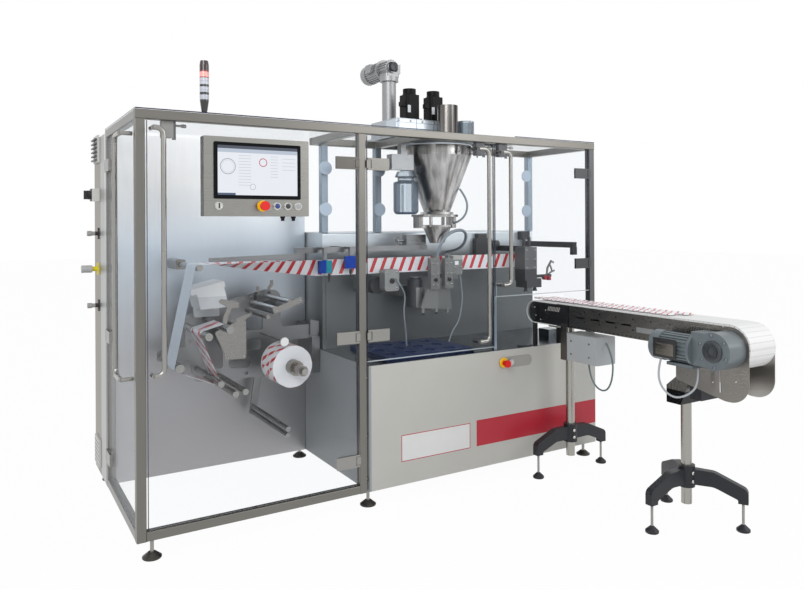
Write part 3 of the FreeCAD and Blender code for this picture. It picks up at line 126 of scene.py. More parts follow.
class Tree:
    """A material's node tree with short ways to add and join nodes."""

    def __init__(self, tree):
        self.tree = tree

    def add(self, kind, **settings):
        item = self.tree.nodes.new(kind)
        for name, setting in settings.items():
            setattr(item, name, setting)
        return item

    def join(self, output, socket):
        self.tree.links.new(output, socket)

    def feed(self, socket, source):
        """Put a number or colour on the socket, or join another node's output to it."""
        if isinstance(source, bpy.types.NodeSocket):
            self.join(source, socket)
        else:
            socket.default_value = source

    def maths(self, operation, first, second=0.0, clamp=False):
        item = self.add("ShaderNodeMath", operation=operation, use_clamp=clamp)
        self.feed(item.inputs[0], first)
        self.feed(item.inputs[1], second)
        return item.outputs[0]

    def mix(self, factor, low, high):
        """Colour between low and high by the factor."""
        item = self.add("ShaderNodeMix", data_type="RGBA")
        self.feed(item.inputs["Factor"], factor)
        self.feed(item.inputs["A"], low)
        self.feed(item.inputs["B"], high)
        return item.outputs["Result"]

    def blend(self, factor, low, high):
        """Number between low and high by the factor."""
        item = self.add("ShaderNodeMix", data_type="FLOAT")
        self.feed(item.inputs["Factor"], factor)
        self.feed(item.inputs["A"], low)
        self.feed(item.inputs["B"], high)
        return item.outputs["Result"]

    def place(self):
        return self.add("ShaderNodeTexCoord").outputs["Object"]

    def split(self, vector):
        item = self.add("ShaderNodeSeparateXYZ")
        self.join(vector, item.inputs[0])
        return item.outputs

    def noise(self, vector, scale, stretch=(1, 1, 1), detail=3.0):
        """Soft noise from 0 to 1, drawn out along an axis by a small stretch there."""
        mapping = self.add("ShaderNodeMapping")
        mapping.inputs["Scale"].default_value = stretch
        self.join(vector, mapping.inputs["Vector"])
        item = self.add("ShaderNodeTexNoise")
        item.inputs["Scale"].default_value = scale
        item.inputs["Detail"].default_value = detail
        self.join(mapping.outputs[0], item.inputs["Vector"])
        return item.outputs["Fac"]

    def group(self, tree, **inputs):
        item = self.add("ShaderNodeGroup", node_tree=tree)
        for name, source in inputs.items():
            self.feed(item.inputs[name], source)
        return item.outputs


def new_group(name, inputs, outputs):
    """Empty node group with named sockets; gives the tree helper, its inputs and its output node."""
    tree = bpy.data.node_groups.new(name, "ShaderNodeTree")
    for label, kind in inputs:
        tree.interface.new_socket(label, in_out="INPUT", socket_type=kind)
    for label, kind in outputs:
        tree.interface.new_socket(label, in_out="OUTPUT", socket_type=kind)
    helper = Tree(tree)
    return helper, helper.add("NodeGroupInput").outputs, helper.add("NodeGroupOutput").inputs


def make_box_mask():
    """1 inside a box given by its two corners, 0 outside."""
    t, given, put = new_group(
        "box_mask",
        [("Place", "NodeSocketVector"), ("Low", "NodeSocketVector"), ("High", "NodeSocketVector")],
        [("Mask", "NodeSocketFloat")])
    place, low, high = (t.split(given[k]) for k in ("Place", "Low", "High"))
    mask = 1.0
    for axis in range(3):
        above = t.maths("GREATER_THAN", place[axis], low[axis])
        below = t.maths("LESS_THAN", place[axis], high[axis])
        mask = t.maths("MULTIPLY", t.maths("MULTIPLY", above, below), mask)
    t.join(mask, put["Mask"])
    return t.tree


def make_brushed():
    """Brushed metal: fine lines along one axis in tone, roughness and height."""
    t, given, put = new_group(
        "brushed",
        [("Place", "NodeSocketVector"), ("Stretch", "NodeSocketVector"), ("Tone", "NodeSocketColor"),
         ("Rough", "NodeSocketFloat")],
        [("Color", "NodeSocketColor"), ("Roughness", "NodeSocketFloat"), ("Height", "NodeSocketFloat")])
    mapping = t.add("ShaderNodeMapping")
    t.join(given["Place"], mapping.inputs["Vector"])
    t.join(given["Stretch"], mapping.inputs["Scale"])
    lines = t.add("ShaderNodeTexNoise")
    lines.inputs["Scale"].default_value = 260
    lines.inputs["Detail"].default_value = 2
    t.join(mapping.outputs[0], lines.inputs["Vector"])
    cloud = t.noise(given["Place"], 3.0)
    grain = t.maths("SUBTRACT", lines.outputs["Fac"], 0.5)
    broad = t.maths("SUBTRACT", cloud, 0.5)
    tone = t.add("ShaderNodeHueSaturation")
    t.join(given["Tone"], tone.inputs["Color"])
    shade = t.maths("ADD", t.maths("MULTIPLY", grain, 0.10), t.maths("MULTIPLY", broad, 0.10))
    t.join(t.maths("ADD", shade, 1.0), tone.inputs["Value"])
    t.join(tone.outputs[0], put["Color"])
    rough = t.maths("ADD", t.maths("MULTIPLY", grain, 0.16), t.maths("MULTIPLY", broad, 0.10))
    t.join(t.maths("ADD", rough, given["Rough"]), put["Roughness"])
    t.join(lines.outputs["Fac"], put["Height"])
    return t.tree


def make_ring_mask():
    """1 within half a width of a circle that faces along Y, 0 elsewhere."""
    t, given, put = new_group(
        "ring_mask",
        [("Place", "NodeSocketVector"), ("Centre", "NodeSocketVector"), ("Radius", "NodeSocketFloat"),
         ("Width", "NodeSocketFloat")],
        [("Mask", "NodeSocketFloat")])
    place, centre = t.split(given["Place"]), t.split(given["Centre"])
    across = t.maths("POWER", t.maths("SUBTRACT", place[0], centre[0]), 2.0)
    up = t.maths("POWER", t.maths("SUBTRACT", place[2], centre[2]), 2.0)
    away = t.maths("SQRT", t.maths("ADD", across, up))
    off = t.maths("ABSOLUTE", t.maths("SUBTRACT", away, given["Radius"]))
    t.join(t.maths("LESS_THAN", off, given["Width"]), put["Mask"])
    return t.tree


def make_print():
    """Slanted bars along a run, and the pale pressed seams between pouches."""
    t, given, put = new_group(
        "print",
        [("Run", "NodeSocketFloat"), ("Across", "NodeSocketFloat"), ("Pitch", "NodeSocketFloat"),
         ("Slant", "NodeSocketFloat"), ("Share", "NodeSocketFloat")],
        [("Bar", "NodeSocketFloat"), ("Seam", "NodeSocketFloat")])
    lean = t.maths("MULTIPLY", given["Across"], given["Slant"])
    phase = t.maths("FRACT", t.maths("DIVIDE", t.maths("SUBTRACT", given["Run"], lean), given["Pitch"]))
    t.join(t.maths("LESS_THAN", phase, given["Share"]), put["Bar"])
    straight = t.maths("FRACT", t.maths("DIVIDE", given["Run"], given["Pitch"]))
    t.join(t.maths("LESS_THAN", straight, 0.07), put["Seam"])
    return t.tree


BOX_MASK = make_box_mask()
BRUSHED = make_brushed()
RING_MASK = make_ring_mask()
PRINT = make_print()


def start_material(name):
    """Empty material with a Principled shader; gives the tree helper and the shader."""
    item = bpy.data.materials.new(name)
    item.use_nodes = True
    item.node_tree.nodes.clear()
    t = Tree(item.node_tree)
    shader = t.add("ShaderNodeBsdfPrincipled")
    output = t.add("ShaderNodeOutputMaterial")
    t.join(shader.outputs[0], output.inputs["Surface"])
    return item, t, shader


# Marks: where on a surface another colour lies

def inside(low, high):
    """Box whose corners are in millimetres from the guard's corner."""
    return lambda t: t.group(BOX_MASK, Place=t.place(), Low=at(*low), High=at(*high))["Mask"]


def fading(axis, start, end):
    """Rises from 0 to 1 along an axis between two places, in metres."""
    def find(t):
        along = t.split(t.place())[axis]
        return t.maths("DIVIDE", t.maths("SUBTRACT", along, start), end - start, clamp=True)
    return find


def both(first, second):
    """Mark where two other marks meet."""
    return lambda t: t.maths("MULTIPLY", first(t), second(t))


def circle(centre, radius, width):
    """Circle that faces along Y; centre, radius and half its line's width in millimetres."""
    return lambda t: t.group(RING_MASK, Place=t.place(), Centre=at(*centre), Radius=radius / 1000,
                             Width=width / 1000)["Mask"]


def rows(axis, pitch, share, low, high):
    """Stripes across an axis, a share of each pitch wide, within a box."""
    def find(t):
        along = t.split(t.place())[axis]
        stripe = t.maths("LESS_THAN", t.maths("FRACT", t.maths("DIVIDE", along, pitch)), share)
        return t.maths("MULTIPLY", stripe, inside(low, high)(t))
    return find


def dots(pitch, radius, low, high, height):
    """Row of round dots along Y at one height on a plate that faces X, within a box."""
    def find(t):
        place = t.split(t.place())
        step = t.maths("SUBTRACT", t.maths("FRACT", t.maths("DIVIDE", place[1], pitch)), 0.5)
        along = t.maths("POWER", t.maths("MULTIPLY", step, pitch), 2.0)
        up = t.maths("POWER", t.maths("SUBTRACT", place[2], height), 2.0)
        dot = t.maths("LESS_THAN", t.maths("ADD", along, up), radius * radius)
        return t.maths("MULTIPLY", dot, inside(low, high)(t))
    return find


def marked(t, color, marks):
    """Colour with the marks laid over it in turn."""
    tone = (*color, 1)
    for where, other in marks:
        tone = t.mix(where(t), tone, (*other, 1))
    return tone


def plain(name, color, rough=0.5, metal=0.0, marks=(), grain=0.04, coat=0.0, shine=0.5):
    """Even surface with faint clouding."""
    item, t, shader = start_material(name)
    cloud = t.noise(t.place(), 6.0)
    value = t.maths("ADD", t.maths("MULTIPLY", t.maths("SUBTRACT", cloud, 0.5), grain * 2), 1.0)
    shade = t.add("ShaderNodeHueSaturation")
    t.feed(shade.inputs["Color"], marked(t, color, marks))
    t.join(value, shade.inputs["Value"])
    t.join(shade.outputs[0], shader.inputs["Base Color"])
    t.join(t.maths("ADD", t.maths("MULTIPLY", cloud, 0.12), rough - 0.06), shader.inputs["Roughness"])
    shader.inputs["Metallic"].default_value = metal
    shader.inputs["Coat Weight"].default_value = coat
    shader.inputs["Specular IOR Level"].default_value = shine
    return item


def brushed(name, color, rough=0.32, stretch=(1, 1, 0.03), marks=()):
    """Brushed metal whose lines run along the axis with the small stretch."""
    item, t, shader = start_material(name)
    found = t.group(BRUSHED, Place=t.place(), Stretch=stretch, Tone=marked(t, color, marks), Rough=rough)
    t.join(found["Color"], shader.inputs["Base Color"])
    t.join(found["Roughness"], shader.inputs["Roughness"])
    bump = t.add("ShaderNodeBump")
    bump.inputs["Strength"].default_value = 0.08
    bump.inputs["Distance"].default_value = 0.0005
    t.join(found["Height"], bump.inputs["Height"])
    t.join(bump.outputs[0], shader.inputs["Normal"])
    shader.inputs["Metallic"].default_value = 1.0
    return item


def streaked_reflections(name, dark, light, rough=0.22):
    """Polished steel with broad dark and light streaks down it, painted reflections, as on the hopper and its stack.
    """
    item, t, shader = start_material(name)
    band = t.noise(t.place(), 22.0, (1, 1, 0.06), 2.0)
    wide = t.noise(t.place(), 7.0, (1, 1, 0.10), 1.0)
    both = t.maths("MULTIPLY", t.maths("ADD", band, wide), 1.6)
    share = t.maths("SUBTRACT", both, 1.1, clamp=True)
    t.join(t.mix(share, (*dark, 1), (*light, 1)), shader.inputs["Base Color"])
    t.join(t.maths("ADD", t.maths("MULTIPLY", band, 0.2), rough - 0.1), shader.inputs["Roughness"])
    shader.inputs["Metallic"].default_value = 1.0
    return item


def clear(name, tint=(0.985, 0.990, 0.995), shine=0.03, veil=0.006, body=(0.85, 0.88, 0.90), marks=()):
    """Clear sheet: nearly all see-through, with a glossy skin and a faint milky veil.

    Each mark is a place, the skin's colour there and how much of the view it covers."""
    item = bpy.data.materials.new(name)
    item.use_nodes = True
    item.node_tree.nodes.clear()
    t = Tree(item.node_tree)
    through = t.add("ShaderNodeBsdfTransparent")
    through.inputs["Color"].default_value = (*tint, 1)
    skin = t.add("ShaderNodeBsdfPrincipled")
    skin.inputs["Roughness"].default_value = 0.03
    facing = t.add("ShaderNodeLayerWeight")
    facing.inputs["Blend"].default_value = 0.2
    share = t.maths("ADD", t.maths("MULTIPLY", facing.outputs["Fresnel"], shine * 6), veil, clamp=True)
    tone = (*body, 1)
    for where, color, cover in marks:
        found = where(t)
        tone = t.mix(found, tone, (*color, 1))
        share = t.blend(found, share, cover)
    t.feed(skin.inputs["Base Color"], tone)
    blend = t.add("ShaderNodeMixShader")
    t.join(share, blend.inputs["Fac"])
    t.join(through.outputs[0], blend.inputs[1])
    t.join(skin.outputs[0], blend.inputs[2])
    output = t.add("ShaderNodeOutputMaterial")
    t.join(blend.outputs[0], output.inputs["Surface"])
    return item


WHITE_FILM = (0.80, 0.80, 0.815)
FILM_RED = (0.56, 0.012, 0.022)


def printed(name, find_run, pitch, slant, share=0.30, marks=(), seam=True):
    """White film with straight slanted red bars; find_run gives the run and across sockets."""
    item, t, shader = start_material(name)
    run, across, where = find_run(t)
    found = t.group(PRINT, Run=run, Across=across, Pitch=pitch, Slant=slant, Share=share)
    tone = (*WHITE_FILM, 1)
    if seam:
        tone = t.mix(found["Seam"], tone, (0.62, 0.63, 0.66, 1))
    tone = t.mix(t.maths("MULTIPLY", found["Bar"], where), tone, (*FILM_RED, 1))
    for place, other in marks:
        tone = t.mix(place(t), tone, (*other, 1))
    wave = t.noise(t.place(), 40.0)
    shade = t.add("ShaderNodeHueSaturation")
    t.join(tone, shade.inputs["Color"])
    t.join(t.maths("ADD", t.maths("MULTIPLY", t.maths("SUBTRACT", wave, 0.5), 0.16), 1.0), shade.inputs["Value"])
    t.join(shade.outputs[0], shader.inputs["Base Color"])
    shader.inputs["Roughness"].default_value = 0.28
    shader.inputs["Coat Weight"].default_value = 0.3
    return item


def in_cells(t, across, cell):
    """1 in the middle three quarters of each cell across the film, 0 between the cells."""
    phase = t.maths("FRACT", t.maths("DIVIDE", across, cell))
    return t.maths("LESS_THAN", t.maths("ABSOLUTE", t.maths("SUBTRACT", phase, 0.5)), 0.38)


def along_web(t):
    """The web stands upright along X."""
    place = t.split(t.place())
    low = t.maths("GREATER_THAN", place[2], 1.133)
    return place[0], place[2], low


def along_feed(t):
    """The feed climbs from the rollers; only the strip before the edge roller shows its print."""
    place = t.split(t.place())
    strip = t.maths("MULTIPLY", t.maths("GREATER_THAN", place[0], 0.268), t.maths("LESS_THAN", place[2], 0.96))
    return place[2], place[1], t.maths("MULTIPLY", strip, in_cells(t, place[1], 0.0567))


def round_reel(t):
    """The reel's print runs round its rim."""
    place = t.split(t.place())
    middle = at(795, 340, 684)
    x = t.maths("SUBTRACT", place[0], middle.x)
    z = t.maths("SUBTRACT", place[2], middle.z)
    turn = t.maths("MULTIPLY", t.maths("ARCTAN2", z, x), 0.105)
    away = t.maths("SQRT", t.maths("ADD", t.maths("POWER", x, 2.0), t.maths("POWER", z, 2.0)))
    rim = t.maths("GREATER_THAN", away, 0.104)
    return turn, place[1], t.maths("MULTIPLY", rim, in_cells(t, place[1], 0.0567))


def along_belt(t):
    """Pouches lie across the belt, one after another along Y."""
    place = t.split(t.place())
    return place[1], place[0], t.maths("GREATER_THAN", place[2], 0.9645)


def dress(material, *nodes):
    for name in nodes:
        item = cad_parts[name]
        item.data.materials.clear()
        item.data.materials.append(material)


# Surfaces worked out on grids

def skin(name, grids, material, slot, body="machine"):
    """Closed pieces from grids of points: rings in order, each closed round, the end rings filled."""
    corners, faces, start = [], [], 0
    for grid in grids:
        rings, count = grid.shape[:2]
        index = start + np.arange(rings * count).reshape(rings, count)
        ahead = np.roll(index, -1, axis=1)
        quads = np.stack([index[:-1], ahead[:-1], ahead[1:], index[1:]], axis=-1).reshape(-1, 4)
        faces += quads.tolist() + [index[0, ::-1].tolist(), index[-1].tolist()]
        corners.append(grid.reshape(-1, 3) / 1000 + np.array(CORNER))
        start += rings * count
    mesh = bpy.data.meshes.new(name)
    mesh.from_pydata(np.concatenate(corners).tolist(), [], faces)
    work = bmesh.new()
    work.from_mesh(mesh)
    bmesh.ops.recalc_face_normals(work, faces=work.faces)
    work.to_mesh(mesh)
    work.free()
    mesh.shade_smooth()
    mesh.set_sharp_from_angle(angle=math.radians(35))
    mesh.materials.append(material)
    item = bpy.data.objects.new(name, mesh)
    bpy.context.scene.collection.objects.link(item)
    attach(item, body)
    return item


def soft_block(low, high, bend):
    """Box with round edges: a ball of the bend's radius whose eight parts move out to the corners."""
    low, high = np.array(low, float), np.array(high, float)
    turn = (np.arange(24) + 0.5) * 2 * np.pi / 24
    rise = np.linspace(-np.pi / 2, np.pi / 2, 8)[:, None]
    way = np.stack([np.cos(rise) * np.cos(turn), np.cos(rise) * np.sin(turn),
                    np.sin(rise) * np.ones_like(turn)], axis=-1)
    side = np.sign(np.stack([np.cos(turn) + 0 * rise, np.sin(turn) + 0 * rise, rise + 0 * turn], axis=-1))
    return (low + high) / 2 + side * ((high - low) / 2 - bend) + bend * way


def turned_form(start, axis, stations, count=24):
    """Round form about an axis: each station gives how far along it and the radius there."""
    axis = np.array(axis, float)
    side = np.cross(axis, (0.31, 0.52, 0.79))
    side /= np.linalg.norm(side)
    other = np.cross(axis, side)
    turn = np.arange(count) * 2 * np.pi / count
    stations = np.array(stations, float)
    circle_of = np.cos(turn)[:, None] * side + np.sin(turn)[:, None] * other
    return np.array(start) + stations[:, :1, None] * axis + stations[:, 1:, None] * circle_of


def dome(start, axis, radius, height):
    """Low screw head: radius falls as a quarter wave over the height."""
    wave = np.linspace(0, np.pi / 2 * 0.8, 5)
    stations = [(0, radius)] + [(height * (0.4 + 0.6 * math.sin(w)), radius * math.cos(w)) for w in wave]
    return turned_form(start, axis, stations, 16)


def bent_bar(points, radius, count=12):
    """Circle carried along a path; side and other are square to the path at each point."""
    path = np.array(points, float)
    way = np.gradient(path, axis=0)
    way /= np.linalg.norm(way, axis=1)[:, None]
    side = np.cross(way, (0.21, 0.33, 0.92))
    side /= np.linalg.norm(side, axis=1)[:, None]
    other = np.cross(way, side)
    turn = np.arange(count) * 2 * np.pi / count
    return path[:, None] + radius * (np.cos(turn)[:, None] * side[:, None] + np.sin(turn)[:, None] * other[:, None])


def pillow(middle, long, wide, high):
    """Filled pouch lying flat: rings of a rectangle drawn in by cos^0.3 as they rise by sin."""
    rise = np.linspace(-1.45, 1.45, 9)[:, None]
    turn = (np.arange(24) + 0.5) * 2 * np.pi / 24
    x, y = np.cos(turn), np.sin(turn)
    edge = (np.abs(x) ** 5 + np.abs(y) ** 5) ** -0.2
    draw = np.cos(rise) ** 0.3
    grid = np.stack([x * edge * draw * wide / 2, y * edge * draw * long / 2,
                     np.sin(rise) * high / 2 * np.ones_like(x)], axis=-1)
    return np.array(middle, float) + grid


# Finishes

GUARD = (0.195, 0.188, 0.172)
STEEL = (0.36, 0.345, 0.32)
DARK = (0.018, 0.018, 0.020)
RED = (0.70, 0.010, 0.008)
YELLOW = (0.85, 0.52, 0.005)
PANEL_FRONT = -160


def guard_surfaces():
    dress(brushed("guard_steel", GUARD, 0.36, (1, 1, 0.03), marks=(
        # painted shade: the right front post (X 2595–2650) is darker
        (inside((2595, -5, 690), (2650, 45, 1885)), (0.125, 0.128, 0.13)),
        # painted reflection: the rear posts (Y 480–800) are tinted blue-grey
        (inside((1000, 480, 1300), (2700, 800, 1845)), (0.26, 0.31, 0.36)))), "guard_posts")
    dress(brushed("guard_steel_long", GUARD, 0.36, (0.03, 1, 1)), "guard_long_beams")
    # painted light: the cross rails are a lighter copy of the guard steel
    dress(brushed("guard_steel_cross", (0.25, 0.25, 0.24), 0.36, (1, 0.03, 1)), "guard_cross_rails")
    edge = clear("clear_sheet", marks=(
        (inside((-5, -5, 1881), (2650, 4, 1890)), (0.012, 0.014, 0.045), 1.0),
        (inside((-5, -5, 1881), (4, 1200, 1890)), (0.05, 0.06, 0.09), 1.0)))
    dress(edge, "fixed_panes")
    sides = [inside((x, -3, 0), (x + 5, 13, 1900)) for x in (44, 1030, 1084, 1872, 1882, 2594)]
    # painted highlights: pale lines along the lower edges of the two bay door panes
    pane_edge_highlights = [inside((1080, -3, 714), (1880, 13, 721)), inside((1880, -3, 988), (2600, 13, 996))]
    dress(clear("door_sheet", marks=[(where, (0.03, 0.035, 0.055), 0.80) for where in sides]
                + [(where, (0.50, 0.55, 0.57), 0.75) for where in pane_edge_highlights]),
          "left_front_door_pane", "bay_left_door_pane", "bay_right_door_pane", "left_end_door_pane")
    dress(clear("lid_sheet", (0.92, 0.95, 0.97), 0.08, 0.10), "hopper_lid")
    # the dark bands along the sides of the jar and the tube are painted shade, the pale bar at X 1440–1449 is a
    # painted highlight and the dark bars at X 1498–1512 and 1905–1914 are painted reflections; the other marks are
    # the rings and rims
    jar = [(inside((1414, 200, 1450), (1427, 380, 1628)), (0.06, 0.10, 0.16), 0.80),
           (inside((1545, 200, 1450), (1558, 380, 1628)), (0.06, 0.10, 0.16), 0.80),
           (inside((1440, 200, 1466), (1449, 380, 1618)), (0.72, 0.82, 0.92), 0.70),
           (inside((1498, 200, 1466), (1512, 380, 1618)), (0.10, 0.15, 0.22), 0.55),
           (inside((1410, 200, 1448), (1560, 380, 1463)), (0.05, 0.09, 0.16), 0.80),
           (inside((1410, 200, 1624), (1560, 380, 1640)), (0.08, 0.12, 0.17), 0.85),
           (inside((1410, 200, 1652), (1560, 380, 1660)), (0.05, 0.07, 0.10), 0.85),
           (inside((1860, 260, 1896), (1970, 365, 2004)), (0.42, 0.46, 0.49), 0.30),
           (inside((1860, 260, 1994), (1970, 365, 2004)), (0.62, 0.66, 0.70), 0.80),
           (inside((1860, 260, 1896), (1873, 365, 2004)), (0.16, 0.19, 0.22), 0.70),
           (inside((1905, 260, 1896), (1914, 365, 2004)), (0.20, 0.24, 0.27), 0.60),
           (inside((1952, 260, 1896), (1966, 365, 2004)), (0.16, 0.19, 0.22), 0.70)]
    dress(clear("jar_plastic", (0.80, 0.845, 0.88), 0.12, 0.10, (0.22, 0.27, 0.33), jar), "filler_tubes")
    # painted shade: the hinge plates are darker at X 900–1042, 1042–1300 and 2400–2650
    dress(brushed("hinge_steel", (0.30, 0.295, 0.28), 0.32, (0.03, 1, 1), marks=(
        (inside((900, -20, 1600), (1042, 30, 1850)), (0.115, 0.11, 0.10)),
        (inside((1042, -20, 1600), (1300, 30, 1850)), (0.20, 0.195, 0.18)),
        (inside((2400, -15, 900), (2650, 30, 1900)), (0.085, 0.088, 0.092)))), "left_front_door_hinge_plates",
          "bay_left_door_hinge_plates", "bay_right_door_hinge_plates", "left_end_door_hinge_plates", "hinge_blocks")
    dress(brushed("handle_steel", (0.32, 0.315, 0.30), 0.24, (1, 1, 0.03)), "left_front_door_handle",
          "bay_left_door_handle", "bay_right_door_handle", "left_end_door_handle")
    # painted reflection: the pane clamps' steel is tinted blue-grey
    dress(brushed("clamp_steel", (0.34, 0.40, 0.47), 0.34, (0.03, 1, 1)), "pane_clamps")
    dress(plain("switch_plastic", (0.10, 0.10, 0.105), 0.4, marks=(
        (inside((100, 0, 1765), (160, 60, 1845)), (0.30, 0.29, 0.27)),)), "door_switches")


def cabinet_surfaces():
    dress(plain("cabinet_paint", (0.475, 0.465, 0.43), 0.42, marks=(
        (inside((1749, -5, 194), (2650, 3, 334)), (0.42, 0.012, 0.028)),
        # painted shade: the left end face (X 1090–1104) is darker
        (inside((1090, -5, 0), (1104, 1200, 700)), (0.28, 0.295, 0.305)),
        (inside((1276, -5, 192), (1707, 2, 327)), (0.42, 0.012, 0.028)),
        (inside((1280, -5, 196), (1703, 2, 323)), (0.68, 0.68, 0.66)))), "base_cabinet")
    # painted reflection on the front face: a darker tone low down, blue-grey between 0.70 and 1.30 m, white between
    # 1.25 and 1.62 m
    front = inside((-10, 780, 0), (1300, 800, 1900))
    dress(brushed("cabinet_steel", (0.47, 0.475, 0.475), 0.42, (1, 1, 0.03), marks=(
        (front, (0.37, 0.365, 0.375)),
        (both(front, fading(2, 0.70, 1.30)), (0.58, 0.66, 0.74)),
        (both(front, fading(2, 1.25, 1.62)), (1.0, 1.0, 1.0)),
        (inside((-5, 950, 0), (30, 1200, 1900)), (0.30, 0.28, 0.25)))), "control_cabinet")
    # painted shade and reflection: dark low on the front, blue-white above 1.20–1.30 m; from Y 0.60–0.80 m back the
    # wall has its own grey
    dress(plain("wall_paint", (0.138, 0.150, 0.154), 0.36, metal=0.5, marks=(
        (fading(2, 1.20, 1.30), (0.74, 0.80, 0.84)),
        (fading(1, 0.60, 0.80), (0.42, 0.44, 0.45)))), "process_wall")
    dress(brushed("table_steel", (0.15, 0.165, 0.18), 0.24, (0.03, 1, 1), marks=(
        # painted highlight: a lighter strip along the table's front edge
        (inside((1090, -5, 690), (2650, 6, 698)), (0.42, 0.43, 0.43)),)), "table_top")
    vents = [(inside((-30, 980, z), (-11, 1120, z + 11)), (0.10, 0.10, 0.10)) for z in range(1740, 1870, 22)]
    low = [(inside((-12, 980, z), (-9, 1120, z + 9)), (0.20, 0.20, 0.20)) for z in range(120, 250, 22)]
    dress(plain("fitting_plastic", (0.60, 0.60, 0.57), 0.4, marks=(
        *vents, *low,
        (inside((-80, 960, 1525), (-38, 1060, 1600)), DARK),
        (inside((-90, 990, 1120), (-2, 1060, 1205)), (0.72, 0.60, 0.01)),
        (inside((-90, 990, 1120), (-34, 1060, 1205)), (0.45, 0.45, 0.44)),
        (inside((-20, 990, 900), (1, 1060, 1040)), DARK),
        (inside((-20, 990, 1300), (1, 1060, 1400)), DARK),
        (inside((-60, 990, 900), (-20, 1060, 1040)), (0.35, 0.35, 0.34)),
        (inside((-60, 990, 1300), (-20, 1060, 1400)), (0.35, 0.35, 0.34)))), "cabinet_fittings")
    dress(plain("foot_steel", (0.06, 0.055, 0.05), 0.35, metal=0.7, marks=(
        (inside((-5, -5, 26), (2700, 1200, 200)), (0.32, 0.31, 0.29)),)), "machine_feet")


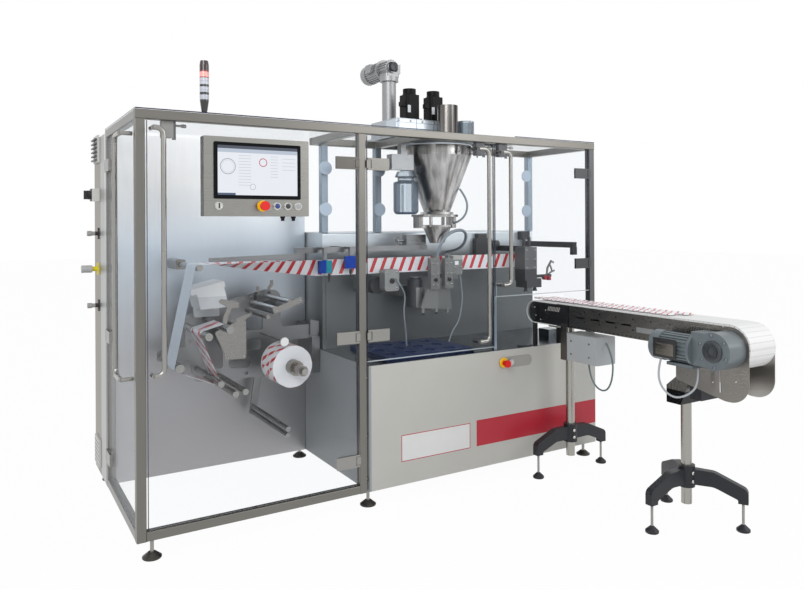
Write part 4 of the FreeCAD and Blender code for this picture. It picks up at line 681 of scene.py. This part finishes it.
def panel_surfaces():
    glass = (0.003, 0.0035, 0.005)
    lit = (0.85, 0.875, 0.93)
    item, t, shader = start_material("panel_steel")
    steel_tone = t.group(BRUSHED, Place=t.place(), Stretch=(0.03, 1, 1), Tone=marked(
        t, (0.29, 0.287, 0.27), (
            (inside((200, -170, 1400), (720, -100, 1431.5)), DARK),
            # painted shade: a dark strip on the panel's left side face
            (inside((236, -159.5, 1400), (240.5, -100, 1800)), (0.085, 0.083, 0.077)))), Rough=0.30)
    bezel = inside((270, -170, 1500), (676, -161, 1750))(t)
    screen = inside((296, -170, 1521), (650, -161, 1729))(t)
    tone = t.mix(bezel, steel_tone["Color"], (*glass, 1))
    picture = (*lit, 1)
    details = [
        (inside((296, -170, 1716), (650, -161, 1729)), (0.10, 0.11, 0.14)),
        (inside((296, -170, 1700), (650, -161, 1716)), (0.52, 0.58, 0.68)),
        (circle((339, 0, 1641), 32, 1.5), (0.35, 0.38, 0.44)),
        (circle((339, 0, 1641), 26, 0.6), (0.52, 0.56, 0.62)),
        (circle((493, 0, 1662), 16.5, 1.6), (0.50, 0.06, 0.08)),
        (circle((447, 0, 1557), 12, 1.0), (0.40, 0.44, 0.50)),
        (inside((296, -170, 1521), (372, -161, 1530)), (0.10, 0.13, 0.20)),
        (rows(2, 0.0125, 0.14, (384, -170, 1560), (440, -161, 1690)), (0.52, 0.56, 0.62)),
        (rows(2, 0.0125, 0.14, (526, -170, 1600), (560, -161, 1690)), (0.52, 0.56, 0.62)),
        (rows(2, 0.016, 0.12, (580, -170, 1620), (640, -161, 1690)), (0.56, 0.60, 0.66))]
    for where, other in details:
        picture = t.mix(where(t), picture, (*other, 1))
    t.join(t.mix(screen, tone, (*glass, 1)), shader.inputs["Base Color"])
    t.join(t.mix(screen, (0, 0, 0, 1), picture), shader.inputs["Emission Color"])
    shader.inputs["Emission Strength"].default_value = 0.95
    shader.inputs["Specular IOR Level"].default_value = 0.12
    t.join(t.blend(bezel, steel_tone["Roughness"], 0.12), shader.inputs["Roughness"])
    t.join(t.maths("SUBTRACT", 1.0, bezel), shader.inputs["Metallic"])
    dress(item, "operator_panel")
    dress(plain("button_plastic", (0.20, 0.20, 0.20), 0.3, marks=(
        (inside((460, -166, 1440), (520, -159, 1510)), YELLOW),
        (inside((460, -210, 1440), (520, -166, 1510)), RED),
        (inside((540, -170, 1450), (572, -159, 1500)), (0.02, 0.04, 0.16)),
        (inside((590, -170, 1450), (620, -159, 1500)), (0.04, 0.045, 0.05)),
        (inside((640, -170, 1450), (670, -159, 1500)), (0.55, 0.56, 0.56)))), "operator_buttons")
    rings = [turned_form((x, PANEL_FRONT, 1476), (0, -1, 0), [(0, 17.5), (3, 17.5), (5, 15.5), (9, 15.5), (9, 12), (8.2, 11.8)])
             for x in (301, 556, 605, 654)]
    chrome = brushed("button_rims", (0.62, 0.62, 0.60), 0.18, (1, 1, 1))
    skin("button_rims", rings, chrome, "steel", "left_front_door")
    key = [soft_block((298.5, -172, 1465), (303.5, -168, 1487), 1.2)]
    lens = [dome((556, -168.5, 1476), (0, -1, 0), 11.5, 4)]
    skin("key_switch", key, plain("key_black", DARK, 0.35), "black_plastic", "left_front_door")
    skin("reset_button", lens, plain("button_blue", (0.012, 0.035, 0.20), 0.25, coat=0.4), "blue_plastic", "left_front_door")
    skin("stop_button", [dome((605, -168.5, 1476), (0, -1, 0), 11.5, 3)], plain("button_dark", (0.035, 0.035, 0.04), 0.3),
         "black_plastic", "left_front_door")
    skin("start_button", [dome((654, -168.5, 1476), (0, -1, 0), 11.5, 3)], plain("button_clear", (0.34, 0.345, 0.345), 0.2, coat=0.4),
         "aluminium", "left_front_door")
    dress(plain("stop_plate", (0.30, 0.29, 0.27), 0.3, metal=0.6, marks=(
        (inside((1905, -8, 595), (1966, -3, 660)), YELLOW),
        (inside((1905, -60, 595), (1966, -8, 660)), RED),
        (inside((1966, -60, 600), (2004, -5, 655)), (0.50, 0.50, 0.49)))), "front_stop")
    collar = [turned_form((1935, -3, 627.5), (0, -1, 0), [(0, 29), (5, 29), (7, 27), (7, 15)])]
    skin("stop_collar", collar, plain("stop_yellow", YELLOW, 0.35, coat=0.2), "aluminium")
    lamps = [(1942, 1963, (0.50, 0.52, 0.58)), (1974, 1998, (0.50, 0.52, 0.58)), (2008, 2037, (0.54, 0.55, 0.61)),
             # painted light: the pale band at Z 2041–2064 inside the red segment stands for light on its lens
             (2037, 2068, (0.30, 0.015, 0.025)), (2041, 2064, (1.0, 0.42, 0.38)), (2068, 2120, (0.030, 0.012, 0.015))]
    dress(plain("lamp_plastic", DARK, 0.22, coat=0.5, marks=[
        (inside((250, -40, low), (340, 80, high)), color) for low, high, color in lamps]), "signal_column")


def unwinder_surfaces():
    dress(brushed("unwind_steel", (0.235, 0.24, 0.245), 0.34, (0.15, 3, 3)), "unwind_plate")
    dress(brushed("roller_steel", (0.31, 0.305, 0.29), 0.25, (1, 0.05, 1), marks=(
        (inside((700, 200, 760), (790, 250, 860)), (0.75, 0.75, 0.75)),)), "film_rollers")
    dress(brushed("dancer_steel", (0.26, 0.26, 0.26), 0.3, (1, 0.05, 1)), "dancer_arm")
    dress(brushed("chuck_steel", (0.24, 0.22, 0.20), 0.22, (1, 0.05, 1)), "reel_chuck")
    dress(brushed("bracket_steel", (0.265, 0.255, 0.24), 0.3, (0.15, 3, 3), marks=(
        (inside((686, 255, 950), (856, 590, 1040)), (0.075, 0.078, 0.085)),
        (inside((690, 255, 971), (714, 590, 996)), (0.60, 0.60, 0.60)),
        (inside((768, 255, 1000), (792, 590, 1025)), (0.60, 0.60, 0.60)))), "unwind_brackets")
    dress(brushed("shaft_steel", (0.34, 0.33, 0.31), 0.22, (1, 0.05, 1)), "unwind_shafts")
    dress(plain("printer_case", (0.60, 0.62, 0.63), 0.4, metal=0.2, marks=(
        (inside((320, 420, 1040), (520, 620, 1120)), (0.74, 0.75, 0.75)),)), "printer_housing")
    dress(printed("feed_print", along_feed, 0.062, 0.5, 0.34, seam=False, marks=(
        (inside((200, 240, 700), (330, 440, 1230)), (0.47, 0.53, 0.59)),)), "film_feed")
    dress(printed("reel_print", round_reel, 0.062, 0.6, 0.36, seam=False), "film_reel")
    dress(printed("web_print", along_web, 0.0615, 0.42, 0.36), "film_fold", "pouch_web")


def station_surfaces():
    grey, dark_grey = (0.20, 0.205, 0.20), (0.06, 0.062, 0.066)
    dress(plain("station_paint", grey, 0.36, metal=0.35, marks=(
        (inside((1330, 270, 1020), (1445, 342, 1160)), (0.27, 0.275, 0.27)),
        (inside((1280, 337, 1000), (1400, 520, 1110)), (0.035, 0.036, 0.04)),
        (inside((1540, 330, 910), (1670, 445, 1090)), (0.045, 0.048, 0.055)),
        (inside((1535, 250, 830), (1715, 460, 893)), DARK),
        (inside((1550, 285, 895), (1700, 345, 1034)), (0.24, 0.245, 0.24)),
        (inside((1785, 265, 1190), (1870, 300, 1217)), (0.40, 0.40, 0.38)),
        (inside((1802, 269, 1160), (1828, 272, 1182)), (0.80, 0.82, 0.82)),
        (inside((2100, 480, 1180), (2330, 570, 1330)), dark_grey),
        (inside((2330, 480, 1200), (2620, 570, 1400)), (0.05, 0.05, 0.055)))), "wall_stations")
    dress(brushed("rail_steel", (0.24, 0.245, 0.25), 0.3, (0.05, 1, 1), marks=(
        (inside((955, 298, 1138), (1004, 322, 1210)), (0.010, 0.045, 0.30)),
        (inside((1004, 298, 1138), (1040, 322, 1210)), (0.02, 0.22, 0.27)),
        (inside((1108, 298, 1158), (1192, 322, 1230)), (0.010, 0.045, 0.30)))), "web_rail")
    dress(plain("tray_blue", (0.009, 0.022, 0.080), 0.42, shine=0.25, marks=(
        (rows(0, 0.124, 0.04, (1225, 60, 714), (1780, 480, 720)), (0.05, 0.07, 0.13)),)), "format_tray")
    dress(plain("transfer_paint", (0.055, 0.056, 0.06), 0.35, metal=0.4, marks=(
        (inside((2265, 190, 1120), (2370, 300, 1260)), (0.13, 0.135, 0.14)),)), "transfer_arm")
    plugs = [turned_form((x, 310, z), (0, 0, -1), [(0, 8), (24, 8), (26, 4), (44, 4)]) for x, z in ((1024, 1138), (1150, 1158))]
    skin("sensor_plugs", plugs, plain("plug_black", (0.015, 0.015, 0.018), 0.4), "black_plastic")
    grip = [soft_block((2430, 205, 1050), (2452, 232, 1078), 4), soft_block((2462, 205, 1046), (2484, 232, 1074), 4)]
    link = [soft_block((2340, 208, 1066), (2490, 226, 1084), 4), soft_block((2430, 224, 1060), (2500, 240, 1080), 4)]
    arm = [bent_bar([(2474, 236, 1078), (2490, 246, 1120), (2540, 268, 1160), (2575, 286, 1150)], 7),
           bent_bar([(2484, 236, 1078), (2520, 250, 1092), (2560, 262, 1100)], 6),
           bent_bar([(2520, 262, 1146), (2528, 256, 1122), (2536, 254, 1096)], 5)]
    skin("gripper_pads", grip, plain("gripper_red", (0.42, 0.02, 0.035), 0.4), "red_plastic")
    skin("gripper_link", link, plain("gripper_dark", (0.05, 0.05, 0.055), 0.4, metal=0.3), "dark_steel")
    skin("gripper_arm", arm, brushed("gripper_arm", (0.20, 0.20, 0.20), 0.3, (0.05, 1, 1)), "steel")


def fine_screws():
    """Screw heads on the plates that face the doors, each (x, z) in rows on one plane."""
    plates = [
        (262, [(x, z) for x in (1648, 1678) for z in (1052, 1112, 1172)]),
        (262, [(x, z) for x in (1742, 1772) for z in (1052, 1112, 1172)]),
        (276, [(x, z) for x in (1356, 1417) for z in (1046, 1132)]),
        (270, [(x, z) for x in (1804, 1844) for z in (1116, 1146)]),
        (200, [(x, z) for x in (2282, 2348) for z in (1130, 1180, 1236)]),
        (424, [(480, 850), (520, 730), (600, 730), (600, 890)]),
        (250, [(712, 969), (838, 1010)]),
        (600, [(840, 600), (372, 800), (392, 622), (820, 1010), (700, 1010), (620, 800), (560, 590)]),
        (356, [(x, z) for x in (1480, 1560, 1640, 1720, 1800) for z in (1912, 1984)]),
    ]
    heads = [dome((x, y + 0.3, z), (0, -1, 0), 5.5, 3.5) for y, spots in plates for x, z in spots]
    skin("fine_screws", heads, brushed("screw_metal", (0.34, 0.34, 0.33), 0.26, (1, 1, 1)), "steel")
    caps = [turned_form((x, 262, z), (0, -1, 0), [(0, 11), (8, 11), (10, 9), (10, 5)]) for x, z in ((1663, 1080), (1757, 1080))]
    caps += [turned_form((1386, 276, 1086), (0, -1, 0), [(0, 15), (5, 15), (7, 12), (7, 6)])]
    skin("station_caps", caps, plain("cap_black", (0.02, 0.02, 0.022), 0.35, shine=0.3), "black_plastic")
    pins = [turned_form((x, 30, 1822), (1, 0, 0), [(0, 5), (26, 5), (26, 8), (44, 8), (46, 6)]) for x in (170, 1830, 1988)]
    skin("switch_pins", pins, brushed("pin_steel", (0.36, 0.36, 0.35), 0.25, (1, 1, 1)), "steel")


def filler_surfaces():
    item, t, shader = start_material("deck_metal")
    stack = inside((1700, 225, 1898), (1835, 352, 2080))(t)
    # painted reflections: dark and light streaks down the stack
    band = t.noise(t.place(), 26.0, (1, 1, 0.05), 2.0)
    share = t.maths("SUBTRACT", t.maths("MULTIPLY", band, 3.4), 1.2, clamp=True)
    tone = marked(t, (0.46, 0.49, 0.52), (
        (inside((1460, 350, 1905), (1825, 470, 1990)), (0.62, 0.68, 0.74)),
        (rows(2, 0.034, 0.12, (1460, 350, 1905), (1825, 362, 2000)), (0.30, 0.33, 0.37)),
        (rows(0, 0.118, 0.05, (1460, 350, 1905), (1825, 362, 2000)), (0.24, 0.27, 0.31))))
    t.join(t.mix(stack, tone, t.mix(share, (0.045, 0.042, 0.04, 1), (0.27, 0.26, 0.25, 1))), shader.inputs["Base Color"])
    t.join(t.blend(stack, 0.35, 1.0), shader.inputs["Metallic"])
    t.join(t.blend(stack, 0.26, t.maths("ADD", t.maths("MULTIPLY", band, 0.2), 0.15)), shader.inputs["Roughness"])
    dress(item, "filler_deck")
    labels = [(inside((middle - 45, 394, 2040), (middle - 18, 396.5, 2082)), (0.66, 0.68, 0.70)) for middle in (1604, 1769)]
    dress(plain("servo_black", (0.006, 0.006, 0.007), 0.40, marks=labels, shine=0.12), "filler_drives")
    dress(plain("lift_metal", (0.34, 0.345, 0.35), 0.42, metal=0.6, marks=(
        (inside((1530, 545, 2300), (1592, 553, 2358)), (0.012, 0.014, 0.02)),)), "lift_column")
    # the hopper's and funnel's dark and light streaks are painted reflections
    dress(streaked_reflections("hopper_steel", (0.10, 0.095, 0.09), (0.68, 0.665, 0.645)), "hopper", "funnel")
    rim = [bent_bar([(1726 + 205 * math.cos(a), 340 + 205 * math.sin(a), 1842) for a in np.linspace(0, 6.2, 40)], 3)]
    skin("rim_seal", rim, plain("rim_seal", (0.72, 0.76, 0.80), 0.2, coat=0.5), "aluminium")
    hub = [turned_form((1561, 549, 2329), (0, -1, 0), [(0, 25), (3, 25), (4, 23), (4, 14), (1, 13)])]
    skin("lift_hub", hub, plain("hub_black", (0.012, 0.014, 0.022), 0.3), "black_plastic")


def conveyor_surfaces():
    face = 2190
    steel = (0.185, 0.178, 0.166)
    marks = [
        # painted light: the frame grows lighter from Y -0.62 m to -1.20 m
        (fading(1, -0.62, -1.20), (0.27, 0.255, 0.235)),
        # painted light: the right side plate's inner face is lightened
        (inside((2370, -1300, 600), (2380, -1090, 962)), (0.46, 0.44, 0.41)),
        (dots(0.027, 0.0032, (face, -1000, 832), (2196, -240, 846), 0.839), DARK),
        (dots(0.108, 0.0042, (face, -900, 918), (2196, -250, 930), 0.924), DARK),
        (dots(0.108, 0.0042, (face, -900, 866), (2196, -250, 878), 0.872), DARK),
        (rows(1, 0.0125, 0.45, (face, -171, 911), (2196, -74, 929)), DARK),
        (rows(1, 0.0125, 0.45, (face, -1086, 905), (2196, -998, 923)), DARK),
        (inside((face, -244, 828), (2196, -240, 955)), DARK),
        (inside((face, -240, 832), (2196, 90, 948)), (0.115, 0.117, 0.122)),
        (inside((face, -805, 864), (2196, -703, 889)), (0.52, 0.53, 0.54))]
    dress(brushed("conveyor_steel", steel, 0.30, (3, 0.1, 3), marks=marks), "conveyor_frame")
    slats = [bent_bar([(2189.5, y, 908), (2189.5, y - 10, 932)], 2.6) for start in (-82, -1000) for y in range(start, start - 96, -12)]
    skin("louvre_slats", slats, brushed("slat_steel", (0.50, 0.49, 0.47), 0.28, (1, 1, 1)), "steel")
    turn = [(2189, 32 + 61 * math.sin(a), 890 + 61 * math.cos(a)) for a in np.linspace(0, math.pi, 15)]
    rim = [bent_bar([(2189, -150, 951), *turn, (2189, -150, 829)], 3)]
    skin("belt_rim", rim, plain("belt_rim", (0.70, 0.70, 0.68), 0.4), "belt_plastic")
    screws = [dome((2192, y, z), (-1, 0, 0), 5, 3) for y, z in ((-20, 850), (20, 870), (-60, 905), (30, 915), (-1240, 915),
                                                               (-1170, 945), (-1120, 700), (-1230, 720))]
    skin("plate_screws", screws, brushed("screw_steel", (0.50, 0.49, 0.47), 0.25, (1, 1, 1)), "steel")
    item, t, shader = start_material("belt_plastic")
    place = t.split(t.place())
    turn = t.maths("ARCTAN2", t.maths("SUBTRACT", place[2], 0.862), t.maths("SUBTRACT", place[1], -1.218))
    outer = t.maths("LESS_THAN", place[1], -1.218)
    run = t.blend(outer, place[1], t.maths("MULTIPLY", turn, 0.098))
    joint = t.maths("LESS_THAN", t.maths("FRACT", t.maths("DIVIDE", run, 0.0254)), 0.10)
    dash = t.maths("LESS_THAN", t.maths("FRACT", t.maths("DIVIDE", place[0], 0.017)), 0.42)
    both = t.maths("MULTIPLY", t.maths("MULTIPLY", joint, dash), t.blend(outer, 0.35, 1.0))
    t.join(t.mix(both, (0.78, 0.775, 0.755, 1), (0.30, 0.30, 0.30, 1)), shader.inputs["Base Color"])
    cloud = t.noise(t.place(), 30.0)
    t.join(t.maths("ADD", t.maths("MULTIPLY", cloud, 0.15), 0.36), shader.inputs["Roughness"])
    dress(item, "conveyor_belt")
    pouches = []
    for row in range(14):
        for side, x in enumerate((2248, 2322)):
            y = 36 - 68 * row - 34 * side
            pouches.append(pillow((x, y, 964.5), 62, 70, 8))
    skin("finished_pouches", pouches, printed("pouch_print", along_belt, 0.034, 0.55, 0.26, seam=False), "film")
    blue = (0.122, 0.146, 0.158)
    dress(plain("drive_paint", blue, 0.36, grain=0.08, coat=0.2, marks=(
        (inside((2065, -1230, 820), (2080, -1166, 888)), (0.018, 0.019, 0.022)),)), "conveyor_drive")
    hub = [turned_form((2081, -1198, 854), (-1, 0, 0), [(0, 46), (5, 46), (9, 40), (9, 31.5), (9.5, 31)])]
    skin("gear_cover", hub, plain("gear_cover", (0.030, 0.038, 0.044), 0.35, coat=0.3), "drive_paint")
    bolts = [dome((2081, -1198 + 66 * math.cos(a), 854 + 66 * math.sin(a)), (-1, 0, 0), 7, 4) for a in np.arange(6) * math.pi / 3 + 0.4]
    skin("gear_bolts", bolts, brushed("gear_bolts", (0.20, 0.22, 0.25), 0.3, (1, 1, 1)), "dark_steel")
    skin("motor_box", [soft_block((2037, -1048, 800), (2044, -928, 886), 2)], plain("motor_box", (0.015, 0.015, 0.017), 0.35),
         "black_plastic")
    skin("motor_plate", [soft_block((2035.4, -1038, 812), (2037.6, -944, 864), 0.6)],
         brushed("motor_plate", (0.17, 0.155, 0.135), 0.3, (1, 0.05, 1)), "steel")
    tie = [bent_bar([(2192, -1155, 770), (2190.5, -1156, 735), (2190, -1157, 700)], 1.2),
           bent_bar([(2190, -1157, 706), (2189.5, -1157.5, 690), (2189.5, -1158, 662)], 3)]
    skin("cable_tie", tie, plain("tie_white", (0.70, 0.70, 0.70), 0.4), "belt_plastic")
    dress(brushed("mast_steel", (0.36, 0.35, 0.32), 0.26, (1, 1, 0.03), marks=(
        (inside((2180, -1020, 626), (2390, -860, 740)), (0.15, 0.145, 0.135)),
        (inside((2180, -1020, 560), (2390, -860, 626)), (0.012, 0.012, 0.014)))), "stand_masts")
    dress(plain("base_black", (0.020, 0.021, 0.025), 0.40, grain=0.12, shine=0.3, marks=(
        (inside((1900, -1300, 31), (2700, 200, 125.5)), (0.33, 0.32, 0.30)),)), "stand_bases")
    hold = [dome((x, y, z), (0, -1, 0), 9, 8) for x, y in ((2310, -159), (2280, -951)) for z in (196, 234)]
    skin("base_bolts", hold, brushed("bolt_steel", (0.48, 0.47, 0.45), 0.24, (1, 1, 1)), "steel")
    dress(plain("box_paint", (0.385, 0.40, 0.405), 0.42), "control_box")
    knobs = [dome((2192, y, z), (-1, 0, 0), 5, 3) for y in (-390, -260) for z in (690, 760)]
    skin("box_screws", knobs, plain("box_screws", (0.05, 0.05, 0.055), 0.4), "black_plastic")


def cord_surfaces():
    grey = plain("hose_plastic", (0.24, 0.28, 0.32), 0.3, coat=0.3, grain=0.10)
    pale = plain("cable_grey", (0.42, 0.44, 0.46), 0.35, grain=0.06)
    slate = plain("cable_slate", (0.11, 0.15, 0.16), 0.4, grain=0.08)
    for name, item in hung.items():
        finish = {"control_box_cable": slate, "gearmotor_cable": pale}.get(name, grey)
        item.data.materials.append(finish)


guard_surfaces()
cabinet_surfaces()
panel_surfaces()
unwinder_surfaces()
station_surfaces()
fine_screws()
filler_surfaces()
conveyor_surfaces()
cord_surfaces()

# Floor, backdrop and light


def stage():
    """Pale floor that keeps the object's shadow, and a white world behind."""
    mesh = bpy.data.meshes.new("floor")
    reach = 30
    mesh.from_pydata([(-reach, -reach, 0), (reach, -reach, 0), (reach, reach, 0), (-reach, reach, 0)], [], [(0, 1, 2, 3)])
    floor = bpy.data.objects.new("floor", mesh)
    bpy.context.scene.collection.objects.link(floor)
    item, t, shader = start_material("floor")
    shader.inputs["Base Color"].default_value = (0.80, 0.80, 0.80, 1)
    shader.inputs["Roughness"].default_value = 0.9
    path = t.add("ShaderNodeLightPath")
    seen = t.maths("MAXIMUM", path.outputs["Is Camera Ray"],
                   t.maths("MAXIMUM", path.outputs["Is Glossy Ray"], path.outputs["Is Transmission Ray"]))
    glow = t.add("ShaderNodeEmission")
    glow.inputs["Color"].default_value = (1, 1, 1, 1)
    glow.inputs["Strength"].default_value = 1.0
    blend = t.add("ShaderNodeMixShader")
    t.join(t.maths("MULTIPLY", seen, 0.97), blend.inputs["Fac"])
    t.join(shader.outputs[0], blend.inputs[1])
    t.join(glow.outputs[0], blend.inputs[2])
    output = next(n for n in t.tree.nodes if n.type == "OUTPUT_MATERIAL")
    t.join(blend.outputs[0], output.inputs["Surface"])
    mesh.materials.append(item)

    world = bpy.data.worlds.new("world")
    world.use_nodes = True
    world.node_tree.nodes.clear()
    w = Tree(world.node_tree)
    path = w.add("ShaderNodeLightPath")
    seen = w.maths("MAXIMUM", path.outputs["Is Camera Ray"],
                   w.maths("MAXIMUM", path.outputs["Is Glossy Ray"], path.outputs["Is Transmission Ray"]))
    soft, white = w.add("ShaderNodeBackground"), w.add("ShaderNodeBackground")
    soft.inputs["Color"].default_value = (0.93, 0.96, 1.0, 1)
    soft.inputs["Strength"].default_value = 0.62
    white.inputs["Color"].default_value = (1, 1, 1, 1)
    white.inputs["Strength"].default_value = 1.0
    blend = w.add("ShaderNodeMixShader")
    w.join(seen, blend.inputs["Fac"])
    w.join(soft.outputs[0], blend.inputs[1])
    w.join(white.outputs[0], blend.inputs[2])
    output = w.add("ShaderNodeOutputWorld")
    w.join(blend.outputs[0], output.inputs["Surface"])
    bpy.context.scene.world = world


def lamp(name, place, target, size, power):
    data = bpy.data.lights.new(name, "AREA")
    data.shape, data.size, data.energy = "SQUARE", size, power
    item = bpy.data.objects.new(name, data)
    bpy.context.scene.collection.objects.link(item)
    item.location = place
    item.rotation_euler = (Vector(target) - Vector(place)).to_track_quat("-Z", "Y").to_euler()
    return item


stage()
lamp("key", (-2.6, -3.6, 4.2), (1.2, 0.0, 0.9), 2.6, 150)
lamp("fill", (4.2, -3.8, 3.2), (1.4, 0.0, 0.8), 3.0, 70)
bpy.context.scene.view_settings.view_transform = "Standard"
